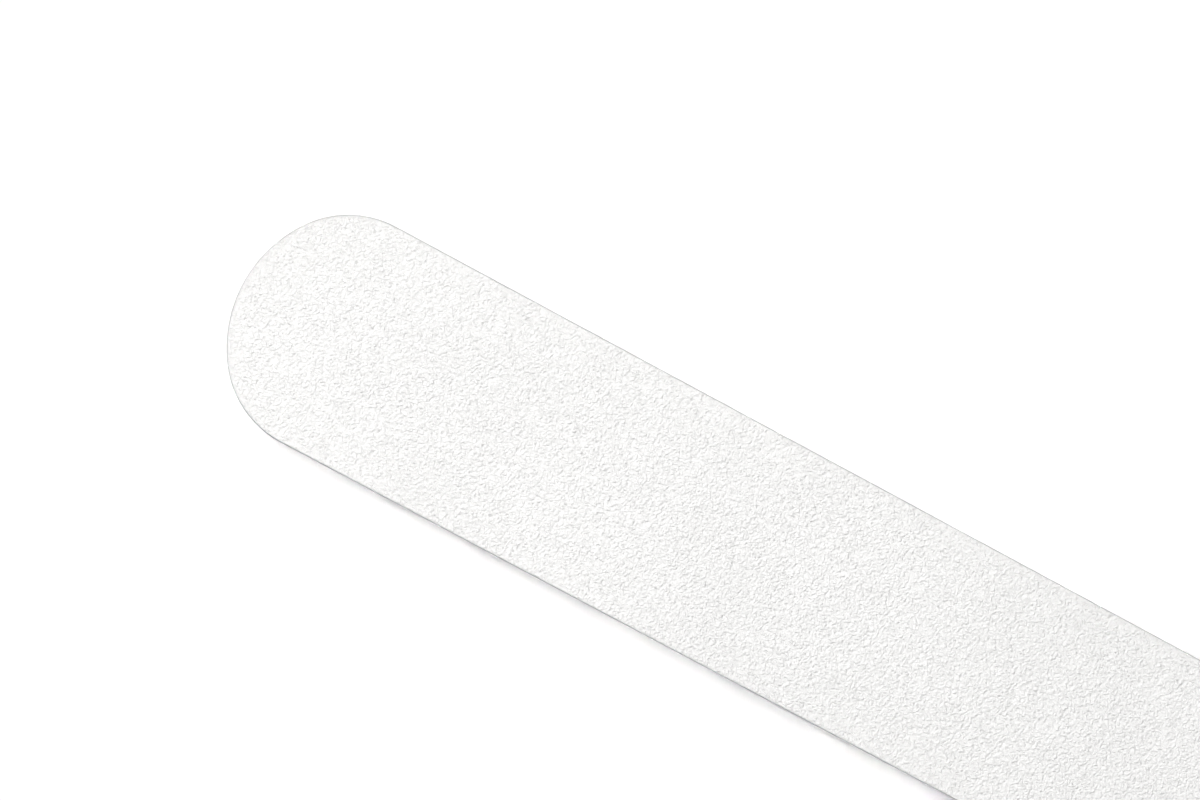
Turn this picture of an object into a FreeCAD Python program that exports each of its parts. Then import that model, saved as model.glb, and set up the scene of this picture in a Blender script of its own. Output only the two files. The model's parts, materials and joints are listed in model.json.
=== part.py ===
"""Diving board on a sprung deck stand, as a parametric document with one object per piece.

Frame: +X points from the stand to the board's tip, +Y to the diver's left, +Z up. The origin is the
centre of the four deck anchor holes, at deck level. All sizes are in millimetres.
"""

import FreeCAD
import Part
import math
import os
import re

import Sketcher

DOC = FreeCAD.newDocument("diving_board")

# ---------------------------------------------------------------- driving dimensions

SIZES = {
    # board: an eight foot plank, 20 inches wide
    "board_length": 2438,
    "board_width": 508,
    "butt_setback": 140,      # butt end behind the hinge line
    "tip_radius": 286,        # big arc across the tip
    "shoulder_radius": 209,   # arcs that lead it into the straight sides
    "butt_corner": 25,
    "board_top": 500,         # tread above the deck
    "board_thick": 48,
    "tip_thick": 34,
    "taper_start": 450,       # underside starts to rise here
    "tread_thick": 2.5,
    "tread_edge": 1.2,
    "top_wall": 4,
    "side_wall": 10,
    "under_edge": 7,
    "skin_thick": 3,
    "stave_count": 8,
    # bolts that clamp the board
    "bolt_spacing": 317.5,
    "bolt_setback": 90,
    "bolt_radius": 6,
    "bolt_hole": 6.75,
    "bolt_length": 96,
    "sleeve_radius": 8,
    "dome_radius": 15,
    "dome_rise": 7,
    "washer_radius": 22,
    "washer_thick": 2.5,
    "seal_radius": 24,
    "seal_thick": 3,
    "nut_hex": 10.6,
    "nut_height": 11,
    # carrier: the hinged frame that the board is bolted to
    "rail_spread": 118,       # rail centre from the middle plane
    "rail_width": 40,
    "rail_height": 60,
    "rail_wall": 3,
    "rail_corner": 6,
    "rail_front": 330,
    "rail_rear": -622,
    "cap_lip": 3,
    "cap_plug": 22,
    "pad_thick": 10,
    "mount_plate": 10,
    "mount_front": -466,
    "mount_half": 200,
    "fulcrum_x": 240,
    "fulcrum_long": 80,
    "fulcrum_half": 230,
    "fulcrum_plate": 8,
    "fulcrum_rubber": 60,
    "spring_plate": 8,
    "spring_plate_long": 140,
    "spring_plate_half": 180,
    # hinge
    "hinge_x": -500,
    "hinge_z": 352,
    "barrel_radius": 20,
    "barrel_length": 54,
    "saddle_long": 30,
    "bush_radius": 13,
    "bush_bore": 10.05,
    "bush_flange": 17,
    "bush_lip": 1.4,
    "shaft_radius": 10,
    "shaft_half": 172,
    "shaft_hex": 17,
    "shaft_head": 10,
    "shaft_nut": 13,
    "ear_thick": 8,
    "ear_gap": 58,            # clear width between the two ears of a pair
    "ear_bore": 10.2,
    "hinge_washer": 18,
    "hinge_washer_thick": 2.5,
    # tail bumpers under the rails, behind the hinge
    "bumper_x": -578,
    "bumper_radius": 17,
    "bumper_height": 34,
    "seat_thick": 6,
    "seat_long": 44,
    # bent tube hoops and the tubes between them
    "tube_radius": 24.15,
    "tube_wall": 3.2,
    "hoop_y": 200,
    "bend_radius": 100,
    "rear_bend_z": 200,
    "front_bend_z": 20,
    "bend_x": 500,            # bend centres, before and behind the origin
    "rear_cross_z": 90,
    "seat_top": 193,          # top of the spring beam
    "beam_long": 120,
    "beam_high": 50,
    "beam_wall": 4,
    "beam_corner": 8,
    "beam_inset": 14,         # beam ends this far inside the hoops' centre lines
    # springs
    "coil_radius": 44,
    "wire_radius": 5,
    "coil_turns": 7,
    "cup_radius": 56,
    "cup_rim": 3,
    "cup_rise": 12,
    "cup_floor": 3,
    "stop_radius": 19,
    "stop_height": 104,
    # feet
    "gasket_thick": 3,
    "foot_thick": 8,
    "foot_inner": 564,
    "foot_outer": 702,
    "foot_half": 50,
    "foot_corner": 16,
    "anchor_x": 660,
    "anchor_radius": 7,
}

SHEET = DOC.addObject("Spreadsheet::Sheet", "Sizes")
for row, (alias, size) in enumerate(SIZES.items(), start=1):
    SHEET.set(f"A{row}", alias)
    SHEET.set(f"B{row}", str(size))
    SHEET.setAlias(f"B{row}", alias)
DOC.recompute()

# heights and places that follow from the cells, as formulas
BOARD_BOTTOM = "board_top - board_thick"
BUTT_X = "hinge_x - butt_setback"
TIP_X = "hinge_x - butt_setback + board_length"
BOLT_X = "hinge_x - butt_setback + bolt_setback"
BOLT_Y = "bolt_spacing / 2"
SHELL_TOP = "board_top - tread_thick"
CORE_TOP = "board_top - tread_thick - top_wall"
PLATE_TOP = "board_top - board_thick - pad_thick"
RAIL_TOP = "board_top - board_thick - pad_thick - mount_plate"
RAIL_BOTTOM = RAIL_TOP + " - rail_height"
UPPER_SEAT = RAIL_BOTTOM + " - spring_plate"
FOOT_TOP = "gasket_thick + foot_thick"
EAR_INNER = "rail_spread - ear_gap / 2 - ear_thick"
EAR_OUTER = "rail_spread + ear_gap / 2"

PIECES = {}


def formula(text):
    """Size names in the text become references to the sheet's cells."""
    return re.sub(
        r"[a-z][a-z_]*",
        lambda word: "Sizes." + word.group(0) if word.group(0) in SIZES else word.group(0),
        str(text),
    )


def number(text):
    """What a formula comes to, in millimetres."""
    value = SHEET.evalExpression(formula(text))
    return float(getattr(value, "Value", value))


def bind(obj, **sizes):
    """Ties properties to formulas. A double underscore stands for the dot of a nested property."""
    for name, text in sizes.items():
        obj.setExpression(name.replace("__", "."), formula(text))


def place(obj, x="0", y="0", z="0", turn=None):
    """Puts an object at a place worked out from the sheet, after an optional turn."""
    if turn is not None:
        obj.Placement = FreeCAD.Placement(FreeCAD.Vector(), turn)
    bind(obj, Placement__Base__x=x, Placement__Base__y=y, Placement__Base__z=z)
    return obj


def piece(label, obj):
    """Registers an object as one of the pieces that are written out."""
    obj.Label = label
    PIECES[label] = obj
    return obj


ALONG_Y = FreeCAD.Rotation(FreeCAD.Vector(1, 0, 0), -90)

# ---------------------------------------------------------------- sketches


def new_body(name):
    return DOC.addObject("PartDesign::Body", name)


def sketch_on(body, name, plane="XY_Plane", offset="0"):
    """A sketch on one of the body's own origin planes, moved along its normal."""
    sketch = body.newObject("Sketcher::SketchObject", name)
    support = next(f for f in body.Origin.OriginFeatures if f.Role == plane)
    sketch.AttachmentSupport = (support, [""])
    sketch.MapMode = "FlatFace"
    bind(sketch, AttachmentOffset__Base__z=offset)
    return sketch


def dimension(sketch, kind, size, *where):
    """A driving dimension whose value is a formula."""
    index = sketch.addConstraint(Sketcher.Constraint(kind, *where, number(size)))
    sketch.setExpression(f"Constraints[{index}]", formula(size))


def point(sketch, geometry, end, x, y):
    """Fixes a point of the sketch at x, y."""
    dimension(sketch, "DistanceX", x, -1, 1, geometry, end)
    dimension(sketch, "DistanceY", y, -1, 1, geometry, end)


def circle(sketch, x, y, radius):
    middle = FreeCAD.Vector(number(x), number(y), 0)
    index = sketch.addGeometry(Part.Circle(middle, FreeCAD.Vector(0, 0, 1), number(radius)))
    point(sketch, index, 3, x, y)
    dimension(sketch, "Radius", radius, index)
    return index


def line(sketch, start, end):
    return sketch.addGeometry(Part.LineSegment(FreeCAD.Vector(*start, 0), FreeCAD.Vector(*end, 0)))


def arc(sketch, middle, radius, first, last):
    """An arc from one angle to another, in degrees, counter-clockwise."""
    ring = Part.Circle(FreeCAD.Vector(*middle, 0), FreeCAD.Vector(0, 0, 1), radius)
    turn = Part.ArcOfCircle(ring, math.radians(first), math.radians(last))
    return sketch.addGeometry(turn)


def polygon(sketch, corners):
    """A closed outline through corners given as pairs of formulas."""
    spots = [(number(x), number(y)) for x, y in corners]
    sides = [line(sketch, a, b) for a, b in zip(spots, spots[1:] + spots[:1])]
    for index, side in enumerate(sides):
        follower = sides[(index + 1) % len(sides)]
        sketch.addConstraint(Sketcher.Constraint("Coincident", side, 2, follower, 1))
        point(sketch, side, 1, *corners[index])


def smooth_loop(sketch, parts):
    """Joins lines and arcs end to start, each tangent to the next."""
    for one, two in zip(parts, parts[1:] + parts[:1]):
        sketch.addConstraint(Sketcher.Constraint("Tangent", one, 2, two, 1))


def rounded_rectangle(sketch, left, right, low, high, corner):
    """A rectangle with equal rounded corners."""
    x0, x1, y0, y1, r = (number(v) for v in (left, right, low, high, corner))
    parts = [
        line(sketch, (x0 + r, y0), (x1 - r, y0)),
        arc(sketch, (x1 - r, y0 + r), r, 270, 360),
        line(sketch, (x1, y0 + r), (x1, y1 - r)),
        arc(sketch, (x1 - r, y1 - r), r, 0, 90),
        line(sketch, (x1 - r, y1), (x0 + r, y1)),
        arc(sketch, (x0 + r, y1 - r), r, 90, 180),
        line(sketch, (x0, y1 - r), (x0, y0 + r)),
        arc(sketch, (x0 + r, y0 + r), r, 180, 270),
    ]
    smooth_loop(sketch, parts)
    for index, way in ((0, "Horizontal"), (2, "Vertical"), (4, "Horizontal"), (6, "Vertical")):
        sketch.addConstraint(Sketcher.Constraint(way, parts[index]))
    for index in (3, 5, 7):
        sketch.addConstraint(Sketcher.Constraint("Equal", parts[1], parts[index]))
    dimension(sketch, "Radius", corner, parts[1])
    dimension(sketch, "DistanceY", low, -1, 1, parts[0], 1)
    dimension(sketch, "DistanceX", right, -1, 1, parts[2], 1)
    dimension(sketch, "DistanceY", high, -1, 1, parts[4], 1)
    dimension(sketch, "DistanceX", left, -1, 1, parts[6], 1)


def board_outline(sketch, inset="0"):
    """The plank seen from above: straight sides, a rounded tip, and small corners at the butt end."""
    step = number(inset)
    half = number("board_width / 2") - step
    tip, shoulder = number("tip_radius") - step, number("shoulder_radius") - step
    corner = max(number("butt_corner") - step, 2)
    rear = number(BUTT_X) + step
    middle = number(TIP_X + " - tip_radius")
    rise = half - shoulder
    reach = math.sqrt((tip - shoulder) ** 2 - rise**2)
    lean = math.degrees(math.atan2(rise, reach))
    parts = [
        line(sketch, (rear + corner, -half), (middle + reach, -half)),
        arc(sketch, (middle + reach, -rise), shoulder, 270, 360 - lean),
        arc(sketch, (middle, 0), tip, -lean, lean),
        arc(sketch, (middle + reach, rise), shoulder, lean, 90),
        line(sketch, (middle + reach, half), (rear + corner, half)),
        arc(sketch, (rear + corner, half - corner), corner, 90, 180),
        line(sketch, (rear, half - corner), (rear, corner - half)),
        arc(sketch, (rear + corner, corner - half), corner, 180, 270),
    ]
    smooth_loop(sketch, parts)
    sketch.addConstraint(Sketcher.Constraint("Horizontal", parts[0]))
    sketch.addConstraint(Sketcher.Constraint("Horizontal", parts[4]))
    sketch.addConstraint(Sketcher.Constraint("Vertical", parts[6]))
    sketch.addConstraint(Sketcher.Constraint("Equal", parts[1], parts[3]))
    sketch.addConstraint(Sketcher.Constraint("Equal", parts[5], parts[7]))
    point(sketch, parts[2], 3, TIP_X + " - tip_radius", "0")
    dimension(sketch, "Radius", f"tip_radius - ({inset})", parts[2])
    dimension(sketch, "Radius", f"shoulder_radius - ({inset})", parts[1])
    dimension(sketch, "Radius", f"max(butt_corner - ({inset}); 2)", parts[5])
    dimension(sketch, "DistanceY", f"board_width / 2 - ({inset})", -1, 1, parts[4], 1)
    dimension(sketch, "DistanceY", f"({inset}) - board_width / 2", -1, 1, parts[0], 1)
    dimension(sketch, "DistanceX", f"{BUTT_X} + ({inset})", -1, 1, parts[6], 1)


def under_line(lift):
    """The underside seen from the side, as corner formulas from the butt end to past the tip."""
    base = f"{BOARD_BOTTOM} + ({lift})"
    rise = "(board_thick - tip_thick)"
    run = f"({TIP_X} - taper_start)"
    past = "20"
    return [
        (f"{BUTT_X} - {past}", base),
        ("taper_start", base),
        (f"{TIP_X} + {past}", f"{base} + {rise} * ({run} + {past}) / {run}"),
    ]


# ---------------------------------------------------------------- features


def pad(body, sketch, length, midplane=False):
    feature = body.newObject("PartDesign::Pad", "Pad")
    feature.Profile = sketch
    feature.Midplane = midplane
    bind(feature, Length=length)
    return feature


def pocket(body, sketch, length, reverse=False, midplane=False):
    """Cuts to a depth."""
    feature = body.newObject("PartDesign::Pocket", "Pocket")
    feature.Profile = sketch
    feature.Reversed = reverse
    feature.Midplane = midplane
    bind(feature, Length=length)
    return feature


def fillet(body, base, radius, chosen):
    """Rounds the edges of a feature for which chosen(edge) is true."""
    DOC.recompute()
    names = [f"Edge{i}" for i, e in enumerate(base.Shape.Edges, start=1) if chosen(e)]
    feature = body.newObject("PartDesign::Fillet", "Fillet")
    feature.Base = (base, names)
    bind(feature, Radius=radius)
    return feature


def box(name, x, y, z, long, wide, high):
    made = DOC.addObject("Part::Box", name)
    bind(made, Length=long, Width=wide, Height=high)
    return place(made, x, y, z)


def cylinder(name, x, y, z, radius, length, turn=None):
    made = DOC.addObject("Part::Cylinder", name)
    bind(made, Radius=radius, Height=length)
    return place(made, x, y, z, turn)


def cut(name, base, tool):
    made = DOC.addObject("Part::Cut", name)
    made.Base, made.Tool = base, tool
    return made


def hexagon(name, x, y, z, radius, height, turn=None):
    made = DOC.addObject("Part::Prism", name)
    made.Polygon = 6
    bind(made, Circumradius=radius, Height=height)
    return place(made, x, y, z, turn)


def ring(name, x, y, z, outer, inner, height, turn=None):
    """A washer or tube: one cylinder with another taken out of it."""
    solid = cylinder(name + "_outer", x, y, z, outer, height, turn)
    return cut(name, solid, cylinder(name + "_bore", x, y, z, inner, height, turn))


def hex_nut(name, x, y, z, radius, bore, height, turn=None):
    """A hexagon nut with a plain bore."""
    block = hexagon(name + "_block", x, y, z, radius, height, turn)
    return cut(name, block, cylinder(name + "_bore", x, y, z, bore, height, turn))


def fuse(name, *shapes):
    made = DOC.addObject("Part::MultiFuse", name)
    made.Shapes = list(shapes)
    return made


def common(name, *shapes):
    made = DOC.addObject("Part::MultiCommon", name)
    made.Shapes = list(shapes)
    return made


def group(label, *shapes):
    """Identical pieces that share one node, each a solid of its own."""
    made = DOC.addObject("Part::Compound", label)
    made.Links = list(shapes)
    return piece(label, made)


def mirrored(name, source, normal=(0, 1, 0)):
    made = DOC.addObject("Part::Mirroring", name)
    made.Source = source
    made.Base = FreeCAD.Vector(0, 0, 0)
    made.Normal = FreeCAD.Vector(*normal)
    return made


def pair(label, source):
    """A piece on the left and its mirror image on the right, in one node."""
    return group(label, source, mirrored(label + "_right", source))


def left_and_right(stem, source):
    """The same piece as two nodes, one on each side."""
    piece("left_" + stem, source)
    piece("right_" + stem, mirrored("right_" + stem, source))


# ---------------------------------------------------------------- board


def prism(name, inset, low, height):
    """The board's outline raised from a level."""
    body = new_body(name)
    sketch = sketch_on(body, name + "_outline", offset=low)
    board_outline(sketch, inset)
    pad(body, sketch, height)
    return body


def side_band(name, lower, upper):
    """A slab across the board between two lines that are seen from the side."""
    body = new_body(name)
    sketch = sketch_on(body, name + "_side", "XZ_Plane")
    polygon(sketch, lower + upper[::-1])
    pad(body, sketch, "board_width + 40", midplane=True)
    return body


def bolt_holes(body, feature_name, radius):
    """The two clamp bolt holes, right through the body along Z."""
    sketch = sketch_on(body, feature_name, offset="0")
    for side in ("", "-"):
        circle(sketch, BOLT_X, f"{side}({BOLT_Y})", radius)
    return pocket(body, sketch, "board_top * 2", midplane=True)


def make_tread():
    """The non-slip layer, the full size of the board."""
    body = prism("tread", "0", SHELL_TOP, "tread_thick")
    top = number("board_top")
    fillet(
        body, body.Tip, "tread_edge",
        lambda e: abs(e.BoundBox.ZMin - top) < 0.01 and abs(e.BoundBox.ZMax - top) < 0.01,
    )
    bolt_holes(body, "tread_holes", "sleeve_radius")
    piece("non_slip_tread", body)


def make_shell():
    """The moulded shell: a tray, open below, with a top and thick side walls."""
    body = prism("shell", "0", BOARD_BOTTOM, f"{SHELL_TOP} - ({BOARD_BOTTOM})")
    wedge = sketch_on(body, "under_taper", "XZ_Plane")
    rising = under_line("0")
    below = (rising[2][0], f"{BOARD_BOTTOM} - 5")
    polygon(wedge, [rising[1], below, rising[2]])
    tapered = pocket(body, wedge, "board_width + 40", midplane=True)
    bottom, level = number(BOARD_BOTTOM), number("board_top - tip_thick")
    fillet(
        body, tapered, "under_edge",
        lambda e: e.BoundBox.ZMax < level + 1 and e.BoundBox.ZMin >= bottom - 0.1
        and not (e.BoundBox.XLength < 0.1 and e.BoundBox.YLength > 400),
    )
    hollow = sketch_on(body, "hollow", offset=BOARD_BOTTOM)
    board_outline(hollow, "side_wall")
    pocket(body, hollow, f"{CORE_TOP} - ({BOARD_BOTTOM})", reverse=True)
    bolt_holes(body, "shell_holes", "sleeve_radius")
    piece("top_shell", body)


def make_bottom_skin():
    """The laminate that closes the tray from below."""
    band = side_band("skin_band", under_line("0"), under_line("skin_thick"))
    inside = prism("skin_prism", "side_wall", BOARD_BOTTOM, "board_thick")
    plate = common("skin_plate", band, inside)
    holes = [
        cylinder("skin_hole", BOLT_X, f"{side}({BOLT_Y})", "0", "sleeve_radius", "board_top")
        for side in ("", "-")
    ]
    piece("bottom_skin", cut("bottom_skin", plate, fuse("skin_holes", *holes)))


def make_core():
    """Timber staves glued side by side, which fill the tray down to the bottom skin."""
    top = [(x, CORE_TOP) for x, _ in under_line("0")]
    band = side_band("core_band", under_line("skin_thick"), top)
    inside = prism("core_prism", "side_wall", BOARD_BOTTOM, "board_thick")
    width = "(board_width - 2 * side_wall) / stave_count"
    holes = [
        cylinder("core_hole", BOLT_X, f"{side}({BOLT_Y})", "0", "sleeve_radius", "board_top")
        for side in ("", "-")
    ]
    drill = fuse("core_holes", *holes)
    for index in range(SIZES["stave_count"]):
        low = f"side_wall - board_width / 2 + {index} * ({width})"
        slab = box(f"slab_{index}", BUTT_X, low, "0", "board_length", width, "board_top")
        stave = common(f"stave_{index}", band, inside, slab)
        near, far = number(low), number(f"{low} + {width}")
        if any(near < side * number(BOLT_Y) < far for side in (1, -1)):
            stave = cut(f"drilled_stave_{index}", stave, drill)
        piece(f"core_stave_{index + 1}", stave)


# ---------------------------------------------------------------- board bolts


def make_bolts():
    """Dome bolts with rubber seals and washers on the tread, and lock nuts under the carrier."""
    under = f"{RAIL_TOP} - washer_thick"
    stack = (
        ("bolt_sleeves", BOARD_BOTTOM, "sleeve_radius", "board_thick"),
        ("bolt_seals", "board_top", "seal_radius", "seal_thick"),
        ("bolt_washers", "board_top + seal_thick", "washer_radius", "washer_thick"),
        ("nut_washers", under, "washer_radius - 8", "washer_thick"),
    )
    for label, level, radius, thick in stack:
        pair(label, ring(label[:-1], BOLT_X, BOLT_Y, level, radius, "bolt_hole", thick))
    nut = hex_nut(
        "board_nut", BOLT_X, BOLT_Y, f"{under} - nut_height", "nut_hex", "bolt_radius", "nut_height"
    )
    pair("board_nuts", nut)
    pair("board_bolts", dome_bolt())


def dome_bolt():
    """A bolt turned from half its outline, its head a shallow dome."""
    body = new_body("bolt")
    profile = sketch_on(body, "bolt_profile", "XZ_Plane")
    head, rise, radius = number("dome_radius"), number("dome_rise"), number("bolt_radius")
    length = number("bolt_length")
    sphere = (head**2 + rise**2) / (2 * rise)
    sides = [
        line(profile, (0, rise), (0, -length)),
        line(profile, (0, -length), (radius, -length)),
        line(profile, (radius, -length), (radius, 0)),
        line(profile, (radius, 0), (head, 0)),
        arc(profile, (0, rise - sphere), sphere, math.degrees(math.acos(head / sphere)), 90),
    ]
    for one, two in zip(sides[:4], sides[1:4]):
        profile.addConstraint(Sketcher.Constraint("Coincident", one, 2, two, 1))
    profile.addConstraint(Sketcher.Constraint("Coincident", sides[3], 2, sides[4], 1))
    profile.addConstraint(Sketcher.Constraint("Coincident", sides[4], 2, sides[0], 1))
    point(profile, sides[0], 1, "0", "dome_rise")
    point(profile, sides[0], 2, "0", "-bolt_length")
    point(profile, sides[2], 1, "bolt_radius", "-bolt_length")
    point(profile, sides[2], 2, "bolt_radius", "0")
    point(profile, sides[3], 2, "dome_radius", "0")
    dimension(profile, "DistanceX", "0", -1, 1, sides[4], 3)
    turned = body.newObject("PartDesign::Revolution", "Turned")
    turned.Profile = profile
    turned.ReferenceAxis = (profile, ["V_Axis"])
    turned.Angle = 360
    return place(body, BOLT_X, BOLT_Y, "board_top + seal_thick + washer_thick")


# ---------------------------------------------------------------- carrier


def plate(name, left, right, low, high, corner, level, thick, plane="XY_Plane"):
    """A flat plate with rounded corners, seen from above or along another axis."""
    body = new_body(name)
    sketch = sketch_on(body, name + "_outline", plane, level)
    rounded_rectangle(sketch, left, right, low, high, corner)
    pad(body, sketch, thick)
    return body


def box_tube(name, plane, sides, corner, wall, length, offset="0", midplane=False):
    """A rolled rectangular tube: sides are its left, right, low and high faces."""
    body = new_body(name)
    sketch = sketch_on(body, name + "_section", plane, offset)
    left, right, low, high = sides
    rounded_rectangle(sketch, left, right, low, high, corner)
    rounded_rectangle(
        sketch, f"{left} + {wall}", f"{right} - {wall}", f"{low} + {wall}", f"{high} - {wall}",
        f"{corner} - {wall}",
    )
    pad(body, sketch, length, midplane)
    return body


def make_carrier():
    """Two box rails on the hinge, with the plates that hold the board and take the springs."""
    half = "rail_width / 2"
    sides = (f"rail_spread - {half}", f"rail_spread + {half}", RAIL_BOTTOM, RAIL_TOP)
    rail = box_tube(
        "left_rail", "YZ_Plane", sides, "rail_corner", "rail_wall", "rail_front - rail_rear",
        offset="rail_rear",
    )
    left_and_right("carrier_rail", rail)

    left, right, low, high = sides
    wall = "rail_wall"
    bore = (f"{left} + {wall}", f"{right} - {wall}", f"{low} + {wall}", f"{high} - {wall}")
    ends = []
    for name, lip, plug in (
        ("front", "rail_front", "rail_front - cap_plug"),
        ("rear", "rail_rear - cap_lip", "rail_rear"),
    ):
        flange = plate(name + "_lip", *sides, "rail_corner", lip, "cap_lip", "YZ_Plane")
        stub = plate(name + "_plug", *bore, f"rail_corner - {wall}", plug, "cap_plug", "YZ_Plane")
        ends.append(fuse(name + "_cap", flange, stub))
    group("rail_end_caps", *ends, *[mirrored(end.Name + "_right", end) for end in ends])

    mount = plate(
        "mount_plate", "rail_rear", "mount_front", "-mount_half", "mount_half", "12",
        RAIL_TOP, "mount_plate",
    )
    bolt_holes(mount, "mount_holes", "bolt_hole")
    piece("rear_mount_plate", mount)
    rubber = plate(
        "rear_rubber", "rail_rear + 4", "mount_front - 4", "-mount_half + 4", "mount_half - 4", "12",
        PLATE_TOP, "pad_thick",
    )
    bolt_holes(rubber, "pad_holes", "bolt_hole")
    piece("rear_board_pad", rubber)

    piece("fulcrum_bar", plate(
        "fulcrum_flat", "fulcrum_x - fulcrum_long / 2", "fulcrum_x + fulcrum_long / 2",
        "-fulcrum_half", "fulcrum_half", "8", RAIL_TOP, "fulcrum_plate",
    ))
    make_fulcrum_rubber()
    piece("spring_plate", plate(
        "spring_flat", "fulcrum_x - spring_plate_long / 2", "fulcrum_x + spring_plate_long / 2",
        "-spring_plate_half", "spring_plate_half", "10", UPPER_SEAT, "spring_plate",
    ))


def make_fulcrum_rubber():
    """A D-shaped rubber strip across the carrier, on which the board rocks."""
    body = new_body("fulcrum_strip")
    profile = sketch_on(body, "strip_profile", "XZ_Plane")
    base = f"{RAIL_TOP} + fulcrum_plate"
    half, middle = number("fulcrum_rubber / 2"), number("fulcrum_x")
    low, high = number(base), number(BOARD_BOTTOM)
    rise = high - low
    radius = (half**2 + rise**2) / (2 * rise)
    lean = math.degrees(math.asin(half / radius))
    crown = arc(profile, (middle, high - radius), radius, 90 - lean, 90 + lean)
    flat = line(profile, (middle - half, low), (middle + half, low))
    profile.addConstraint(Sketcher.Constraint("Coincident", crown, 2, flat, 1))
    profile.addConstraint(Sketcher.Constraint("Coincident", flat, 2, crown, 1))
    point(profile, flat, 1, "fulcrum_x - fulcrum_rubber / 2", base)
    point(profile, flat, 2, "fulcrum_x + fulcrum_rubber / 2", base)
    gap = f"({BOARD_BOTTOM} - ({base}))"
    dimension(profile, "Radius", f"((fulcrum_rubber / 2)^2 + {gap}^2) / (2 * {gap})", crown)
    pad(body, profile, "2 * fulcrum_half - 10", midplane=True)
    piece("fulcrum_rubber", body)


# ---------------------------------------------------------------- hinge


def make_hinge():
    """Barrels under the rails turn on one long shaft, which the ears of the stand hold."""
    start = "rail_spread - barrel_length / 2"
    at = ("hinge_x", start, "hinge_z")
    flat = "rail_width - 2 * rail_corner"
    saddle = box(
        "saddle", "hinge_x - saddle_long / 2", f"rail_spread - ({flat}) / 2", "hinge_z",
        "saddle_long", flat, f"{RAIL_BOTTOM} - hinge_z",
    )
    tube = fuse("lug", cylinder("barrel", *at, "barrel_radius", "barrel_length", ALONG_Y), saddle)
    bore = cylinder("barrel_bore", *at, "bush_radius", "barrel_length", ALONG_Y)
    left_and_right("hinge_barrel", cut("left_barrel", tube, bore))

    halves = []
    for name, lip, sleeve in (
        ("inner", f"{start} - bush_lip", start),
        ("outer", f"{start} + barrel_length", f"{start} + barrel_length * 0.52"),
    ):
        flange = cylinder(
            name + "_lip", "hinge_x", lip, "hinge_z", "bush_flange", "bush_lip", ALONG_Y
        )
        shell = cylinder(
            name + "_sleeve", "hinge_x", sleeve, "hinge_z", "bush_radius", "barrel_length * 0.48", ALONG_Y
        )
        hole = cylinder(
            name + "_hole", "hinge_x", f"{start} - 5", "hinge_z", "bush_bore", "barrel_length + 10", ALONG_Y
        )
        halves.append(cut(name + "_bush", fuse(name + "_blank", flange, shell), hole))
    group("hinge_bushings", *halves, *[mirrored(half.Name + "_right", half) for half in halves])

    for stem, low in (("inner_ear", EAR_INNER), ("outer_ear", EAR_OUTER)):
        left_and_right(stem, make_ear(stem, low))

    outside = f"{EAR_OUTER} + ear_thick"
    seat = f"{outside} + hinge_washer_thick"
    rod = cylinder(
        "shaft_rod", "hinge_x", "-shaft_half + shaft_head", "hinge_z", "shaft_radius",
        "2 * shaft_half - shaft_head", ALONG_Y,
    )
    head = hexagon(
        "shaft_hexagon", "hinge_x", f"-({seat} + shaft_head)", "hinge_z", "shaft_hex", "shaft_head", ALONG_Y
    )
    piece("hinge_shaft", fuse("hinge_bolt", rod, head))
    washer = ring(
        "hinge_disc", "hinge_x", outside, "hinge_z", "hinge_washer", "ear_bore",
        "hinge_washer_thick", ALONG_Y,
    )
    pair("hinge_washers", washer)
    piece("hinge_nut", hex_nut(
        "hinge_locknut", "hinge_x", seat, "hinge_z", "shaft_hex", "shaft_radius", "shaft_nut", ALONG_Y
    ))


def make_ear(name, low):
    """An upright plate that sits over the hinge beam, holds the shaft and reaches back to the bumper."""
    body = new_body(name)
    side = sketch_on(body, name + "_outline", "XZ_Plane")
    back = "bumper_x - seat_long / 2"
    seat = f"{RAIL_BOTTOM} - bumper_height"
    polygon(side, [
        (back, seat),
        (back, f"{seat} - 24"),
        ("hinge_x - 34", "rear_bend_z + bend_radius - 34"),
        ("hinge_x + 34", "rear_bend_z + bend_radius - 34"),
        ("hinge_x + 34", "rear_bend_z + bend_radius + 12"),
        ("hinge_x + 21", "hinge_z + 19"),
        ("hinge_x - 21", "hinge_z + 19"),
        ("hinge_x - 30", seat),
    ])
    blank = pad(body, side, "ear_thick")
    blank.Reversed = True
    rounded = fillet(
        body, blank, "9",
        lambda e: e.BoundBox.XLength < 0.01 and e.BoundBox.ZLength < 0.01
        and e.BoundBox.XMin > number("hinge_x - 25"),
    )
    holes = sketch_on(body, name + "_holes", "XZ_Plane")
    circle(holes, "hinge_x", "hinge_z", "ear_bore")
    circle(holes, "hinge_x", "rear_bend_z + bend_radius", "tube_radius")
    pocket(body, holes, "4 * ear_thick", midplane=True)
    place(body, "0", low, "0")
    return body


def make_bumpers():
    """Seats between the ears, with rubber bumpers that the rails' tails rest on."""
    seat = f"{RAIL_BOTTOM} - bumper_height"
    gap_low = "rail_spread - ear_gap / 2"
    bridge = box(
        "seat_bridge", "bumper_x - seat_long / 2", gap_low, f"{seat} - seat_thick",
        "seat_long", "ear_gap", "seat_thick",
    )
    left_and_right("bumper_seat", bridge)
    rubber = cylinder("bumper_rubber", "bumper_x", "rail_spread", seat, "bumper_radius", "bumper_height")
    softened = DOC.addObject("Part::Fillet", "bumper_rounded")
    softened.Base = rubber
    DOC.recompute()
    rims = [
        i for i, e in enumerate(rubber.Shape.Edges, start=1)
        if e.BoundBox.ZLength < 0.01 and e.BoundBox.XLength > 1
    ]
    softened.Edges = [(i, 3.0, 3.0) for i in rims]
    pair("tail_bumpers", softened)


# ---------------------------------------------------------------- stand


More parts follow.
